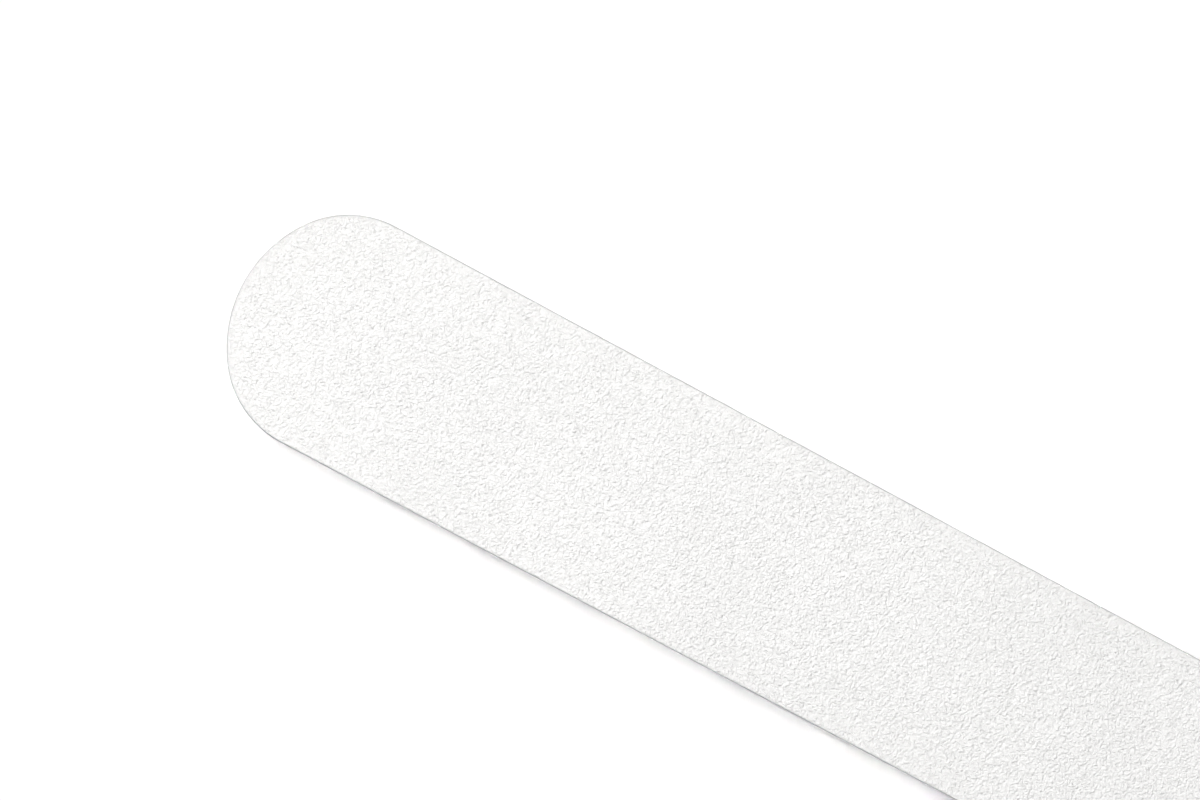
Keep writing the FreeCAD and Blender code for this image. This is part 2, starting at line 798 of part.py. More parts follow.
def hoop_body(name, hollow):
    """A tube bent into a long hoop: up from the rear foot, over, and down a slope to the front foot."""
    body = new_body(name)
    spine = sketch_on(body, name + "_path", "XZ_Plane")
    bend, reach = number("bend_radius"), number("bend_x")
    rear, front = number("rear_bend_z"), number("front_bend_z")
    foot = number(FOOT_TOP)
    slope = math.degrees(math.atan2(rear - front, 2 * reach))
    lean = math.radians(90 - slope)
    shift = (bend * math.cos(lean), bend * math.sin(lean))
    parts = [
        line(spine, (-reach - bend, foot), (-reach - bend, rear)),
        arc(spine, (-reach, rear), bend, 90 - slope, 180),
        line(spine, (-reach + shift[0], rear + shift[1]), (reach + shift[0], front + shift[1])),
        arc(spine, (reach, front), bend, 0, 90 - slope),
        line(spine, (reach + bend, front), (reach + bend, foot)),
    ]
    ends = [(0, 2, 1, 2), (1, 1, 2, 1), (2, 2, 3, 2), (3, 1, 4, 1)]
    for one, last, two, first in ends:
        spine.addConstraint(Sketcher.Constraint("Tangent", parts[one], last, parts[two], first))
    for upright in (0, 4):
        spine.addConstraint(Sketcher.Constraint("Vertical", parts[upright]))
    spine.addConstraint(Sketcher.Constraint("Equal", parts[1], parts[3]))
    dimension(spine, "Radius", "bend_radius", parts[1])
    point(spine, parts[1], 3, "-bend_x", "rear_bend_z")
    point(spine, parts[3], 3, "bend_x", "front_bend_z")
    dimension(spine, "DistanceY", FOOT_TOP, -1, 1, parts[0], 1)
    dimension(spine, "DistanceY", FOOT_TOP, -1, 1, parts[4], 2)
    section = sketch_on(body, name + "_section", offset=FOOT_TOP)
    circle(section, "-bend_x - bend_radius", "0", "tube_radius")
    if hollow:
        circle(section, "-bend_x - bend_radius", "0", "tube_radius - tube_wall")
    swept = body.newObject("PartDesign::AdditivePipe", "Bent")
    swept.Profile = section
    swept.Spine = (spine, [])
    place(body, "0", "hoop_y", "0")
    return body


def cross_tube(name, x, z, envelope):
    """A round tube between the hoops, its ends shaped to fit against them."""
    tube = ring(
        name + "_tube", x, "-hoop_y", z, "tube_radius", "tube_radius - tube_wall", "2 * hoop_y", ALONG_Y
    )
    return piece(name, cut(name, tube, envelope))


def make_stand():
    """The two hoops, the tubes and the beam between them, and the spring seats."""
    hoop = hoop_body("hoop", hollow=True)
    left_and_right("hoop", hoop)
    solid = hoop_body("hoop_envelope", hollow=False)
    envelope = fuse("hoop_envelopes", solid, mirrored("hoop_envelope_right", solid))
    cross_tube("rear_cross_tube", "-bend_x - bend_radius", "rear_cross_z", envelope)
    cross_tube("hinge_beam", "-bend_x", "rear_bend_z + bend_radius", envelope)
    cross_tube(
        "front_cross_tube", "bend_x + bend_radius * cos(45 deg)",
        "front_bend_z + bend_radius * sin(45 deg)", envelope,
    )
    sides = (
        "fulcrum_x - beam_long / 2", "fulcrum_x + beam_long / 2", "seat_top - beam_high", "seat_top"
    )
    beam = box_tube(
        "beam_tube", "XZ_Plane", sides, "beam_corner", "beam_wall", "2 * (hoop_y - beam_inset)",
        midplane=True,
    )
    lid = plate(
        "beam_lid", *sides, "beam_corner", "hoop_y - beam_inset - beam_wall", "beam_wall", "XZ_Plane"
    )
    closed = fuse("closed_beam", beam, lid, mirrored("far_beam_lid", lid))
    piece("spring_beam", cut("spring_beam", closed, envelope))


def make_springs():
    """A coil spring on each side between two cups, with a rubber bump stop inside it."""
    x, y = "fulcrum_x", "rail_spread"
    low, high = "seat_top + cup_floor", f"{UPPER_SEAT} - cup_floor"
    for stem, base, hollow in (
        ("lower_cup", "seat_top", low),
        ("upper_cup", f"{UPPER_SEAT} - cup_rise", f"{UPPER_SEAT} - cup_rise - cup_floor"),
    ):
        blank = cylinder(stem + "_blank", x, y, base, "cup_radius", "cup_rise")
        well = cylinder(stem + "_well", x, y, hollow, "cup_radius - cup_rim", "cup_rise")
        left_and_right(stem, cut(stem, blank, well))

    height = f"({high} - ({low}))"
    coil = new_body("coil")
    wire = sketch_on(coil, "wire_section", "XZ_Plane")
    circle(wire, "coil_radius", f"{low}", "wire_radius")
    wound = coil.newObject("PartDesign::AdditiveHelix", "Wound")
    wound.Profile = wire
    wound.ReferenceAxis = (wire, ["V_Axis"])
    wound.Mode = 1
    bind(wound, Pitch=f"{height} / coil_turns", Turns="coil_turns")
    place(coil, x, y, "0")
    span = cylinder("coil_span", x, y, low, "cup_radius", height)
    left_and_right("spring", common("ground_coil", coil, span))

    stop = cylinder("stop_rubber", x, y, low, "stop_radius", "stop_height")
    left_and_right("bump_stop", stop)


def make_feet():
    """A plate under each leg with an anchor hole, a rubber gasket below it and a gusset on it."""
    gaskets = []
    for end, flip in (("front", False), ("rear", True)):
        foot = plate(
            end + "_foot_plate", "foot_inner", "foot_outer", "hoop_y - foot_half",
            "hoop_y + foot_half", "foot_corner", "gasket_thick", "foot_thick",
        )
        gasket = plate(
            end + "_gasket_sheet", "foot_inner", "foot_outer", "hoop_y - foot_half",
            "hoop_y + foot_half", "foot_corner", "0", "gasket_thick",
        )
        for body in (foot, gasket):
            hole = sketch_on(body, body.Name + "_hole")
            circle(hole, "anchor_x", "hoop_y", "anchor_radius")
            pocket(body, hole, "50", midplane=True)
        if flip:
            foot = mirrored("rear_foot_turned", foot, (1, 0, 0))
            gasket = mirrored("rear_gasket_turned", gasket, (1, 0, 0))
        piece(f"{end}_left_foot", foot)
        piece(f"{end}_right_foot", mirrored(f"{end}_right_foot", foot))
        gaskets += [gasket, mirrored(f"{end}_right_gasket", gasket)]
    group("foot_gaskets", *gaskets)


# ---------------------------------------------------------------- build and write


def check(obj):
    """Stops the build if an object failed or its shape isn't sound."""
    if any(word in obj.State for word in ("Invalid", "Error")):
        raise RuntimeError(f"{obj.Name} ({obj.Label}) failed: {obj.State}")


def main():
    make_tread()
    make_shell()
    make_bottom_skin()
    make_core()
    make_bolts()
    make_carrier()
    make_hinge()
    make_bumpers()
    make_stand()
    make_springs()
    make_feet()
    DOC.recompute()
    for obj in DOC.Objects:
        check(obj)
    for label, obj in PIECES.items():
        shape = obj.Shape
        if shape.isNull() or not shape.isValid() or not shape.Solids:
            raise RuntimeError(f"{label} has no sound shape")
    os.makedirs("parts", exist_ok=True)
    for label, obj in PIECES.items():
        obj.Shape.exportStep(f"parts/{label}.step")
        count, volume = len(obj.Shape.Solids), obj.Shape.Volume
        print(f"{label}: {count} solid(s), {volume / 1000:.1f} cm3")


main()
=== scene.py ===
"""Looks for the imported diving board: grained tread, wound springs, weld beads, fasteners, finishes, stage.

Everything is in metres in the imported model's own frame: +X towards the board's tip, +Y to the left, +Z up,
with the deck at z = 0. Each piece is a surface worked out as whole arrays from two parameters.
"""

import json
import math

import bmesh
import bpy
import numpy as np
from bpy.props import FloatProperty, FloatVectorProperty, IntProperty, PointerProperty
from mathutils import Matrix, Vector

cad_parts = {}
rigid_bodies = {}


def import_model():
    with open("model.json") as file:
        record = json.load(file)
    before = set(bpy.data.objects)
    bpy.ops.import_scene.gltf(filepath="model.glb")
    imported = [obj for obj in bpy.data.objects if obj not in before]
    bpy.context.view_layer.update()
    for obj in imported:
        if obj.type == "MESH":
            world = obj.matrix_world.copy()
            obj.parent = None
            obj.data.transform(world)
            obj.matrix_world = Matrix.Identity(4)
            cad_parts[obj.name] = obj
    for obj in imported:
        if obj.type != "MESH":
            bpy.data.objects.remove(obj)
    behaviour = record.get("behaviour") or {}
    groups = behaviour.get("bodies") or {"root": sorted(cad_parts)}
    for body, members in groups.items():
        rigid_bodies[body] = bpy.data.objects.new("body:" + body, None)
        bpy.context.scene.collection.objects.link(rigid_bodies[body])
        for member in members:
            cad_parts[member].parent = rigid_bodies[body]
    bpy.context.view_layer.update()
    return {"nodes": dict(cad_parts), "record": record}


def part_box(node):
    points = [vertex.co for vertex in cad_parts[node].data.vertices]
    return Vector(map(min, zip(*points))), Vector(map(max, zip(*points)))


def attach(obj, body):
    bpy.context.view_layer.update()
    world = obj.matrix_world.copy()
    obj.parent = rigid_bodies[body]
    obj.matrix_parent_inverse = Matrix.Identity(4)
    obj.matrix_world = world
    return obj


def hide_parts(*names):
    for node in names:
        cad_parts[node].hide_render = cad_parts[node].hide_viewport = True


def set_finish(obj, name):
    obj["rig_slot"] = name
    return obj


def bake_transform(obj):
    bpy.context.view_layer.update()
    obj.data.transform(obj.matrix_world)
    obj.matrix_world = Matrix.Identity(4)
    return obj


bl_info = {
    "name": "Diving board looks",
    "version": (1, 0, 0),
    "blender": (4, 5, 0),
    "location": "View3D > Sidebar > Diving board",
    "description": "Tread, springs, welds, fasteners, finishes and stage for a diving board",
    "category": "Object",
}

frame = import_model()
SIDES = {"left": 1.0, "right": -1.0}
BEAD_LIFT = 0.25  # how far a weld bead's middle stands out of its corner, in bead radii
RIPPLE_POINTS = 6  # points of a bead's path from one ripple to the next

# ---------------------------------------------------------------- settings


def length(name, text, default):
    """A distance in metres that a user may change."""
    return FloatProperty(name=name, description=text, default=default, unit="LENGTH", precision=5)


def number(name, text, default):
    """A plain number that a user may change."""
    return FloatProperty(name=name, description=text, default=default)


def angle(name, text, degrees):
    """An angle that a user may change, given here in degrees."""
    return FloatProperty(name=name, description=text, default=math.radians(degrees), subtype="ANGLE")


def colour(name, text, default):
    """A surface colour that a user may change."""
    return FloatVectorProperty(
        name=name, description=text, default=default, size=3, subtype="COLOR", min=0.0, max=1.0
    )


class TreadSettings(bpy.types.PropertyGroup):
    """Sizes of the non-slip tread and its grain."""

    mesh_pitch: length("Mesh pitch", "Distance between points of the tread's mesh", 0.0038)
    tip_radius: length("Tip radius", "Radius of the big arc across the tip", 0.286)
    shoulder_radius: length("Shoulder radius", "Radius of the arcs that lead into the sides", 0.209)
    butt_corner: length("Butt corner", "Radius of the corners at the butt end", 0.025)
    edge_radius: length("Edge radius", "Rounding along the tread's top edge", 0.0023)
    grain_pitch: length("Grain pitch", "Usual distance between the swells of the grain", 0.0108)
    grain_height: length("Grain height", "Typical height of the grain above or below its mean", 0.00014)
    seat_radius: length("Bolt seat", "Flat ring left in the grain around each clamp bolt", 0.026)
    seed: IntProperty(name="Seed", description="Which random grain is made", default=11, min=0)


class HardwareSettings(bpy.types.PropertyGroup):
    """Sizes of the springs, welds and threads."""

    wire: length("Wire radius", "Radius of the spring wire", 0.005)
    coil: length("Coil radius", "Radius of the spring at the middle of its wire", 0.044)
    turns: number("Turns", "Turns of each spring, its closed ends included", 7.2)
    weld: length("Weld radius", "Radius of the weld beads", 0.0030)
    ripple: length("Weld ripple", "Distance between the ripples of a weld bead", 0.0034)
    thread: length("Thread pitch", "Pitch of the threads on the clamp bolts", 0.00175)


class FinishSettings(bpy.types.PropertyGroup):
    """Colours of the board and its stand."""

    tread: colour("Tread", "Grit cast in white acrylic", (0.800, 0.794, 0.787))
    shell: colour("Shell", "White gel coat on the board's sides", (0.80, 0.80, 0.79))
    laminate: colour("Laminate", "Glass laminate under the board", (0.70, 0.70, 0.66))
    timber: colour("Timber", "Fir staves inside the board", (0.47, 0.27, 0.11))
    enamel: colour("Enamel", "Powder coat on the stand and carrier", (0.185, 0.200, 0.215))
    spring: colour("Spring", "Coating on the springs", (0.030, 0.033, 0.038))
    steel: colour("Steel", "Stainless fasteners", (0.60, 0.60, 0.61))
    rubber: colour("Rubber", "Pads, seals, bumpers and gaskets", (0.022, 0.022, 0.023))
    plastic: colour("Plastic", "Caps in the rails' ends", (0.018, 0.018, 0.019))
    nylon: colour("Nylon", "Hinge bushings", (0.66, 0.64, 0.56))


class StageSettings(bpy.types.PropertyGroup):
    """Camera, floor and light."""

    aim_back: length("Aim from tip", "How far behind the tip the camera looks", 0.769)
    aim_side: length("Aim to side", "How far left of the middle the camera looks", -0.137)
    distance: length("Distance", "From the camera to the board", 6.0)
    tilt_long: angle("Tilt to tip", "Lean of the view towards the tip", 4.8)
    tilt_side: angle("Tilt to left", "Lean of the view towards the left", 2.2)
    roll: angle("Roll", "Turn of the view about its own axis", 208.22)
    lens: number("Lens", "Focal length in millimetres", 85.9)
    ambient: number("Ambient", "Brightness of the sky", 0.25)
    overhead: number("Overhead", "Sun above everything, as a share of full white", 0.568)
    backdrop: number("Backdrop", "Sun above that lights only the floor", 0.33)
    rake: number("Rake", "Low sun that brings out the grain", 0.33)
    fill: number("Fill", "Wide low sun from each side", 0.15)
    key: number("Key", "Disk light beyond the tip, in watts", 140.0)


# ---------------------------------------------------------------- mesh building


def make_piece(name, shells, body, slot, sharp=None, **marks):
    """One object from (points, faces) shells, its faces turned outwards.

    Edges over the sharp angle stay crisp. With no body it is left free. Each mark is a number for every
    point, which a finish can read by the mark's name.
    """
    mesh = bpy.data.meshes.new(name)
    points, faces, start = [], [], 0
    for spots, quads in shells:
        points.append(spots.reshape(-1, 3))
        faces += (quads + start).tolist()
        start += len(points[-1])
    mesh.from_pydata(np.concatenate(points).tolist(), [], [drop_repeats(face) for face in faces])
    work = bmesh.new()
    work.from_mesh(mesh)
    bmesh.ops.recalc_face_normals(work, faces=work.faces)
    work.to_mesh(mesh)
    work.free()
    mesh.shade_smooth()
    if sharp is not None:
        mesh.set_sharp_from_angle(angle=sharp)
    for mark, values in marks.items():
        mesh.attributes.new(mark, "FLOAT", "POINT").data.foreach_set("value", values)
    piece = bpy.data.objects.new(name, mesh)
    bpy.context.scene.collection.objects.link(piece)
    if body:
        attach(piece, body)
    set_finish(piece, slot)
    return piece


def drop_repeats(face):
    """A quad that names one corner twice becomes a triangle."""
    return list(dict.fromkeys(face))


def grid_quads(rows, columns, loop_rows=False, loop_columns=False):
    """Corner numbers of the quads of a grid of points, joined up across either edge where it loops."""
    row = np.arange(rows if loop_rows else rows - 1)[:, None]
    column = np.arange(columns if loop_columns else columns - 1)[None, :]
    down, right = (row + 1) % rows, (column + 1) % columns
    quads = np.stack(np.broadcast_arrays(
        row * columns + column, row * columns + right, down * columns + right, down * columns + column
    ), axis=-1)
    return quads.reshape(-1, 4)


def sealed_tube(points):
    """A grid whose columns close on themselves, with a point in the middle of each open end to seal it."""
    rows, columns = points.shape[:2]
    spots = np.concatenate([points.reshape(-1, 3), points[0].mean(0)[None], points[-1].mean(0)[None]])
    column = np.arange(columns)
    after = (column + 1) % columns
    ends = []
    for first, pole in ((0, rows * columns), (rows * columns - columns, rows * columns + 1)):
        fan = np.stack([first + column, first + after, np.full(columns, pole), np.full(columns, pole)], -1)
        ends.append(fan)
    return spots, np.concatenate([grid_quads(rows, columns, loop_columns=True), *ends])


def unit(vectors):
    return vectors / np.linalg.norm(vectors, axis=-1, keepdims=True)


def full_turn(count):
    """Evenly spaced angles once round a circle."""
    return np.arange(count) * (2 * np.pi / count)


def circles(centre, side, other, radius, around):
    """A circle of points about every centre, in the plane of its two directions."""
    turn = full_turn(around)[None, :, None]
    ring = side[:, None] * np.cos(turn) + other[:, None] * np.sin(turn)
    return centre[:, None] + ring * np.broadcast_to(radius, len(centre))[:, None, None]


def bead_on_path(path, radius, around, closed):
    """A round bead: every point of the path carries a circle across the path's own direction.

    The circle's plane is spanned by two vectors: the direction crossed with a helper axis, and the
    direction crossed with that. The radius may change along the path.
    """
    ahead = np.roll(path, -1, 0) - np.roll(path, 1, 0)
    if not closed:
        ahead[0], ahead[-1] = path[1] - path[0], path[-1] - path[-2]
    ahead = unit(ahead)
    helper = np.eye(3)[np.argmin(np.abs(ahead).max(0))]
    side = unit(np.cross(ahead, helper))
    other = np.cross(ahead, side)
    points = circles(path, side, other, radius, around)
    if closed:
        return points.reshape(-1, 3), grid_quads(len(path), around, True, True)
    return sealed_tube(points)


def smooth_step(value):
    value = np.clip(value, 0.0, 1.0)
    return value * value * (3 - 2 * value)


# ---------------------------------------------------------------- tread


def swell_field(size, cell, pitch, seed):
    """Random heights on a lattice, with unit spread.

    White noise is filtered so that only waves near the pitch stay: each frequency is weighed by a bell
    curve of the logarithm of its ratio to the pitch's own. Taking away a share of the square lowers the
    tops and deepens the hollows, which makes the swells into pebbles.
    """
    spread, rounding = 0.32, 0.22
    shape = tuple(int(extent / cell) + 2 for extent in size)
    white = np.random.default_rng(seed).standard_normal(shape)
    long_way = np.fft.fftfreq(shape[0], cell)[:, None]
    cross_way = np.fft.rfftfreq(shape[1], cell)[None, :]
    ratio = np.maximum(np.hypot(long_way, cross_way), 1e-3) * pitch
    weight = np.exp(-0.5 * (np.log(ratio) / spread) ** 2)
    waves = np.fft.irfft2(np.fft.rfft2(white) * weight, s=shape)
    waves /= waves.std()
    pebbles = waves - rounding * waves**2
    return (pebbles - pebbles.mean()) / pebbles.std()


def read_field(field, cell, x, y):
    """The field's height between lattice points, by a straight blend of the four around each place."""
    column, row = x / cell, y / cell
    left, low = np.floor(column).astype(int), np.floor(row).astype(int)
    left = np.clip(left, 0, field.shape[0] - 2)
    low = np.clip(low, 0, field.shape[1] - 2)
    u, v = column - left, row - low
    return (
        field[left, low] * (1 - u) * (1 - v) + field[left + 1, low] * u * (1 - v)
        + field[left, low + 1] * (1 - u) * v + field[left + 1, low + 1] * u * v
    )


def tip_curve(share, half, tip, big, small):
    """The tip's outline from the right side to the left, and its outward normals.

    share runs from 0 to 1 along its length. The normal turns from -90 to 90 degrees, at a rate set by the
    arc that it is on, and a point is its arc's centre plus the arc's radius along the normal.
    """
    rise = half - small
    reach = math.sqrt((big - small) ** 2 - rise**2)
    lean = math.atan2(rise, reach)
    shoulder, crown = small * (math.pi / 2 - lean), 2 * big * lean
    marks = np.array([0, shoulder, shoulder + crown, 2 * shoulder + crown])
    normal = np.interp(share * marks[-1], marks, [-math.pi / 2, -lean, lean, math.pi / 2])
    on_crown = np.abs(normal) <= lean
    middle_x = tip - big + np.where(on_crown, 0.0, reach)
    middle_y = np.where(on_crown, 0.0, np.sign(normal) * rise)
    radius = np.where(on_crown, big, small)
    outward = np.stack([np.cos(normal), np.sin(normal)], -1)
    return np.stack([middle_x, middle_y], -1) + radius[:, None] * outward, outward


def butt_curve(share, half, butt, corner):
    """The butt end's outline from the right side to the left, and its outward normals.

    It is a quarter circle, a straight and a quarter circle.
    """
    turn = corner * math.pi / 2
    flat = 2 * (half - corner)
    marks = np.array([0, turn, turn + flat, 2 * turn + flat])
    along = share * marks[-1]
    normal = np.interp(along, marks, [-math.pi / 2, -math.pi, -math.pi, -math.pi * 3 / 2])
    centre = np.interp(along, marks, [corner - half, corner - half, half - corner, half - corner])
    outward = np.stack([np.cos(normal), np.sin(normal)], -1)
    return np.stack([np.full(len(share), butt + corner), centre], -1) + corner * outward, outward


def tread_plan(settings, low, high):
    """The places of the top's points in rows across the board, and the outward normals of both ends.

    Straight rows fill the middle, and towards each end the rows bend by degrees into that end's outline.
    """
    butt_bend, tip_bend = 0.06, 0.13
    edge, pitch = settings.edge_radius, settings.mesh_pitch
    half, tip, butt = high.y - edge, high.x - edge, low.x + edge
    columns = 2 * round(half / pitch) + 1
    share = np.linspace(0, 1, columns)
    big, small = settings.tip_radius - edge, settings.shoulder_radius - edge
    tip_line, tip_out = tip_curve(share, half, tip, big, small)
    butt_line, butt_out = butt_curve(share, half, butt, settings.butt_corner - edge)
    across = (2 * share - 1) * half
    start, stop = butt_line[0, 0] + butt_bend, tip_line[0, 0] - tip_bend
    straight = [np.stack([np.full(columns, x), across], -1) for x in (start, stop)]
    key_rows = [butt_line, *straight, tip_line]
    counts = [round(reach / pitch) for reach in (start - butt, stop - start, tip - stop)]
    bands = [
        near + (far - near) * (np.arange(count) / count)[:, None, None]
        for near, far, count in zip(key_rows, key_rows[1:], counts)
    ]
    return np.concatenate([*bands, tip_line[None]]), butt_out, tip_out


def grain_heights(settings, low, high, plan, bolts):
    """The grain's height at each place: the swell field there, faded out towards each bolt's seat."""
    cell = 0.001
    field = swell_field((high.x - low.x, high.y - low.y), cell, settings.grain_pitch, settings.seed)
    x, y = plan[..., 0], plan[..., 1]
    swell = read_field(field, cell, x - low.x, y - low.y)
    for bolt_x, bolt_y in bolts:
        away = np.hypot(x - bolt_x, y - bolt_y)
        swell = swell * smooth_step((away - settings.seat_radius) / settings.seat_radius)
    return swell * settings.grain_height


def ladder(one, other):
    """Quads between two equally long lines of point numbers."""
    return np.stack([one[:-1], one[1:], other[1:], other[:-1]], -1)


def tread_shell(settings, low, high, bolts):
    """The tread as a closed shell, and a mark that is 1 on its rim and 0 on its top.

    Rings of points carry the top's border over a quarter circle to the side, and the side down to a flat
    bottom of strips from side to side.
    """
    plan, butt_out, tip_out = tread_plan(settings, low, high)
    rows, columns = plan.shape[:2]
    height = high.z + grain_heights(settings, low, high, plan, bolts)
    top = np.concatenate([plan, height[..., None]], -1).reshape(-1, 3)

    index = np.arange(rows * columns).reshape(rows, columns)
    border = np.concatenate([index[0, :-1], index[:-1, -1], index[-1, :0:-1], index[:0:-1, 0]])
    left_side = np.tile([0.0, 1.0], (rows - 1, 1))
    outward = np.concatenate([butt_out[:-1], left_side, tip_out[:0:-1], -left_side])
    base, edge = top[border], settings.edge_radius
    rings = []
    for lean in np.radians([22.5, 45, 67.5, 90]):
        ring = base.copy()
        ring[:, :2] += outward * edge * math.sin(lean)
        ring[:, 2] = high.z + (base[:, 2] - high.z) * math.cos(lean) - edge * (1 - math.cos(lean))
        rings.append(ring)
    foot = rings[-1].copy()
    foot[:, 2] = low.z
    rings.append(foot)
    points = np.concatenate([top, *rings])

    count = len(border)
    ring_numbers = len(top) + np.arange(len(rings) * count).reshape(len(rings), count)
    rim = np.concatenate([border[None], ring_numbers])
    skirt = rim.reshape(-1)[grid_quads(*rim.shape, loop_columns=True)]
    under = np.full((rows, columns), -1)
    under.reshape(-1)[border] = rim[-1]
    middle = columns // 2
    bottom = [ladder(under[:, 0], under[:, -1])]
    for row in (under[0], under[-1]):
        bottom.append(ladder(row[: middle + 1], row[: middle - 1 : -1]))
    faces = np.concatenate([grid_quads(rows, columns), skirt, *bottom])
    return points, faces, (np.arange(len(points)) >= len(top)).astype(float)


class DIVING_OT_tread(bpy.types.Operator):
    """Build the grained non-slip tread in place of the plain layer"""

    bl_idname = "diving.tread"
    bl_label = "Tread"

    def execute(self, context):
        low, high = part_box("non_slip_tread")
        bolt_low, bolt_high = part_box("bolt_seals")
        x = (bolt_low.x + bolt_high.x) / 2
        y = bolt_high.y - (bolt_high.x - bolt_low.x) / 2
        points, faces, rim = tread_shell(context.scene.diving_tread, low, high, [(x, y), (x, -y)])
        piece = make_piece(
            "grained_tread", [(points, faces)], "board", "tread_grit", sharp=math.radians(50), rim=rim
        )
        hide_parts("non_slip_tread")
        return {"FINISHED"}


# ---------------------------------------------------------------- springs


def spring_shell(axis, low, high, hardware):
    """A coil spring with closed and ground ends.

    The wire's middle goes round a circle while it rises. It rises by one wire thickness a turn along the
    first and last turn, and faster between them, by the amount that brings it to the top. Points that would
    stand below the seat or above the cup are brought back to it, which grinds the ends flat.
    """
    steps_a_turn, around = 44, 20
    closed_turns, easing, slack, left_by_grinding = 0.85, 0.5, 1.01, 0.45
    wire, turns = hardware.wire, hardware.turns
    steps = round(turns * steps_a_turn)
    turn = np.linspace(0, turns, steps + 1)
    rise = 2 * wire * slack
    opening = smooth_step((turn - closed_turns) / easing)
    active = opening * smooth_step((turns - closed_turns - turn) / easing)
    first, last = low + left_by_grinding * wire, high - left_by_grinding * wire
    share = np.concatenate([[0], np.cumsum((active[1:] + active[:-1]) / 2)]) * (turns / steps)
    climb = (last - first - rise * turns) / share[-1]
    turned = 2 * np.pi * turn
    radial = np.stack([np.cos(turned), np.sin(turned), np.zeros_like(turned)], -1)
    centre = np.array([*axis, 0.0]) + hardware.coil * radial
    centre[:, 2] = first + rise * turn + climb * share
    forward = unit(np.gradient(centre, axis=0))
    points = circles(centre, radial, np.cross(forward, radial), wire, around)
    points[..., 2] = np.clip(points[..., 2], low, high)
    return sealed_tube(points)


class DIVING_OT_springs(bpy.types.Operator):
    """Wind both coil springs, each between its two cups"""

    bl_idname = "diving.springs"
    bl_label = "Springs"

    def execute(self, context):
        hardware = context.scene.diving_hardware
        for side in SIDES:
            low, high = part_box(f"{side}_spring")
            axis = ((low.x + high.x) / 2, (low.y + high.y) / 2)
            shell = spring_shell(axis, low.z, high.z, hardware)
            piece = make_piece(f"{side}_coil_spring", [shell], None, "spring_steel")
            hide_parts(f"{side}_spring")
            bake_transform(piece)
        return {"FINISHED"}


# ---------------------------------------------------------------- welds


def weld(path, hardware, closed=True):
    """A bead that swells and narrows once for every ripple, and tapers at open ends."""
    swing, taper, blunt, around = 0.09, 1.5, 0.05, 8
    gaps = np.linalg.norm(np.diff(path, axis=0), axis=1)
    along = np.concatenate([[0], np.cumsum(gaps)])
    total = along[-1] + (np.linalg.norm(path[0] - path[-1]) if closed else 0)
    count = max(round(total / hardware.ripple), 1)
    radius = hardware.weld * (1 + swing * np.cos(2 * np.pi * count * along / total))
    if not closed:
        near_end = np.minimum(along, total - along) / (taper * hardware.weld)
        radius = radius * np.sqrt(np.clip(near_end, blunt, 1.0))
    return bead_on_path(path, radius, around, closed)


def ring_angles(radius, hardware):
    """Angles round a circle, with the same number of points to every ripple."""
    return full_turn(RIPPLE_POINTS * round(2 * math.pi * radius / hardware.ripple))


def flat_ring(x, y, z, radius, hardware):
    """A bead round an upright part where it stands on a plate."""
    turn = ring_angles(radius, hardware)
    path = np.stack([x + radius * np.cos(turn), y + radius * np.sin(turn), np.full_like(turn, z)], -1)
    return weld(path, hardware)


def upright_ring(x, y, z, radius, hardware):
    """A bead round a tube that runs across the stand, where it passes through a plate."""
    turn = ring_angles(radius, hardware)
    path = np.stack([x + radius * np.cos(turn), np.full_like(turn, y), z + radius * np.sin(turn)], -1)
    return weld(path, hardware)


def saddle_ring(x, z, side, hoop_y, radius, lean, hardware):
    """A bead where a cross tube meets a hoop of the same size.

    Round the cross tube, its end stands back from the hoop's centre line by the hoop's radius times the
    cosine of the angle from the hoop's own direction. Where that cosine is near nothing, both tubes run
    level, and the bead sinks into them by most of its own radius.
    """
    least_back, sunk, crest = 0.004, 0.75, 0.3
    turn = ring_angles(radius, hardware)
    slope = np.cos(turn - lean)
    back = np.sqrt((radius * slope) ** 2 + least_back**2)
    reach = radius - sunk * hardware.weld * np.exp(-((slope / crest) ** 2))
    path = np.stack([x + reach * np.cos(turn), side * (hoop_y - back), z + reach * np.sin(turn)], -1)
    return weld(path, hardware)


def straight_bead(start, end, hardware):
    """A bead along a straight corner between a rail and a plate."""
    start, end = np.array(start), np.array(end)
    count = RIPPLE_POINTS * round(np.linalg.norm(end - start) / hardware.ripple) + 1
    path = start + (end - start) * np.linspace(0, 1, count)[:, None]
    return weld(path, hardware, closed=False)


def cup_ring(cup, under_plate, hardware):
    """A bead round a spring cup, on top of the plate below it or under the plate above it."""
    low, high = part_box(cup)
    lift = hardware.weld * BEAD_LIFT
    middle = (low + high) / 2
    level = high.z - lift if under_plate else low.z + lift
    return flat_ring(middle.x, middle.y, level, (high.x - low.x) / 2 + lift, hardware)


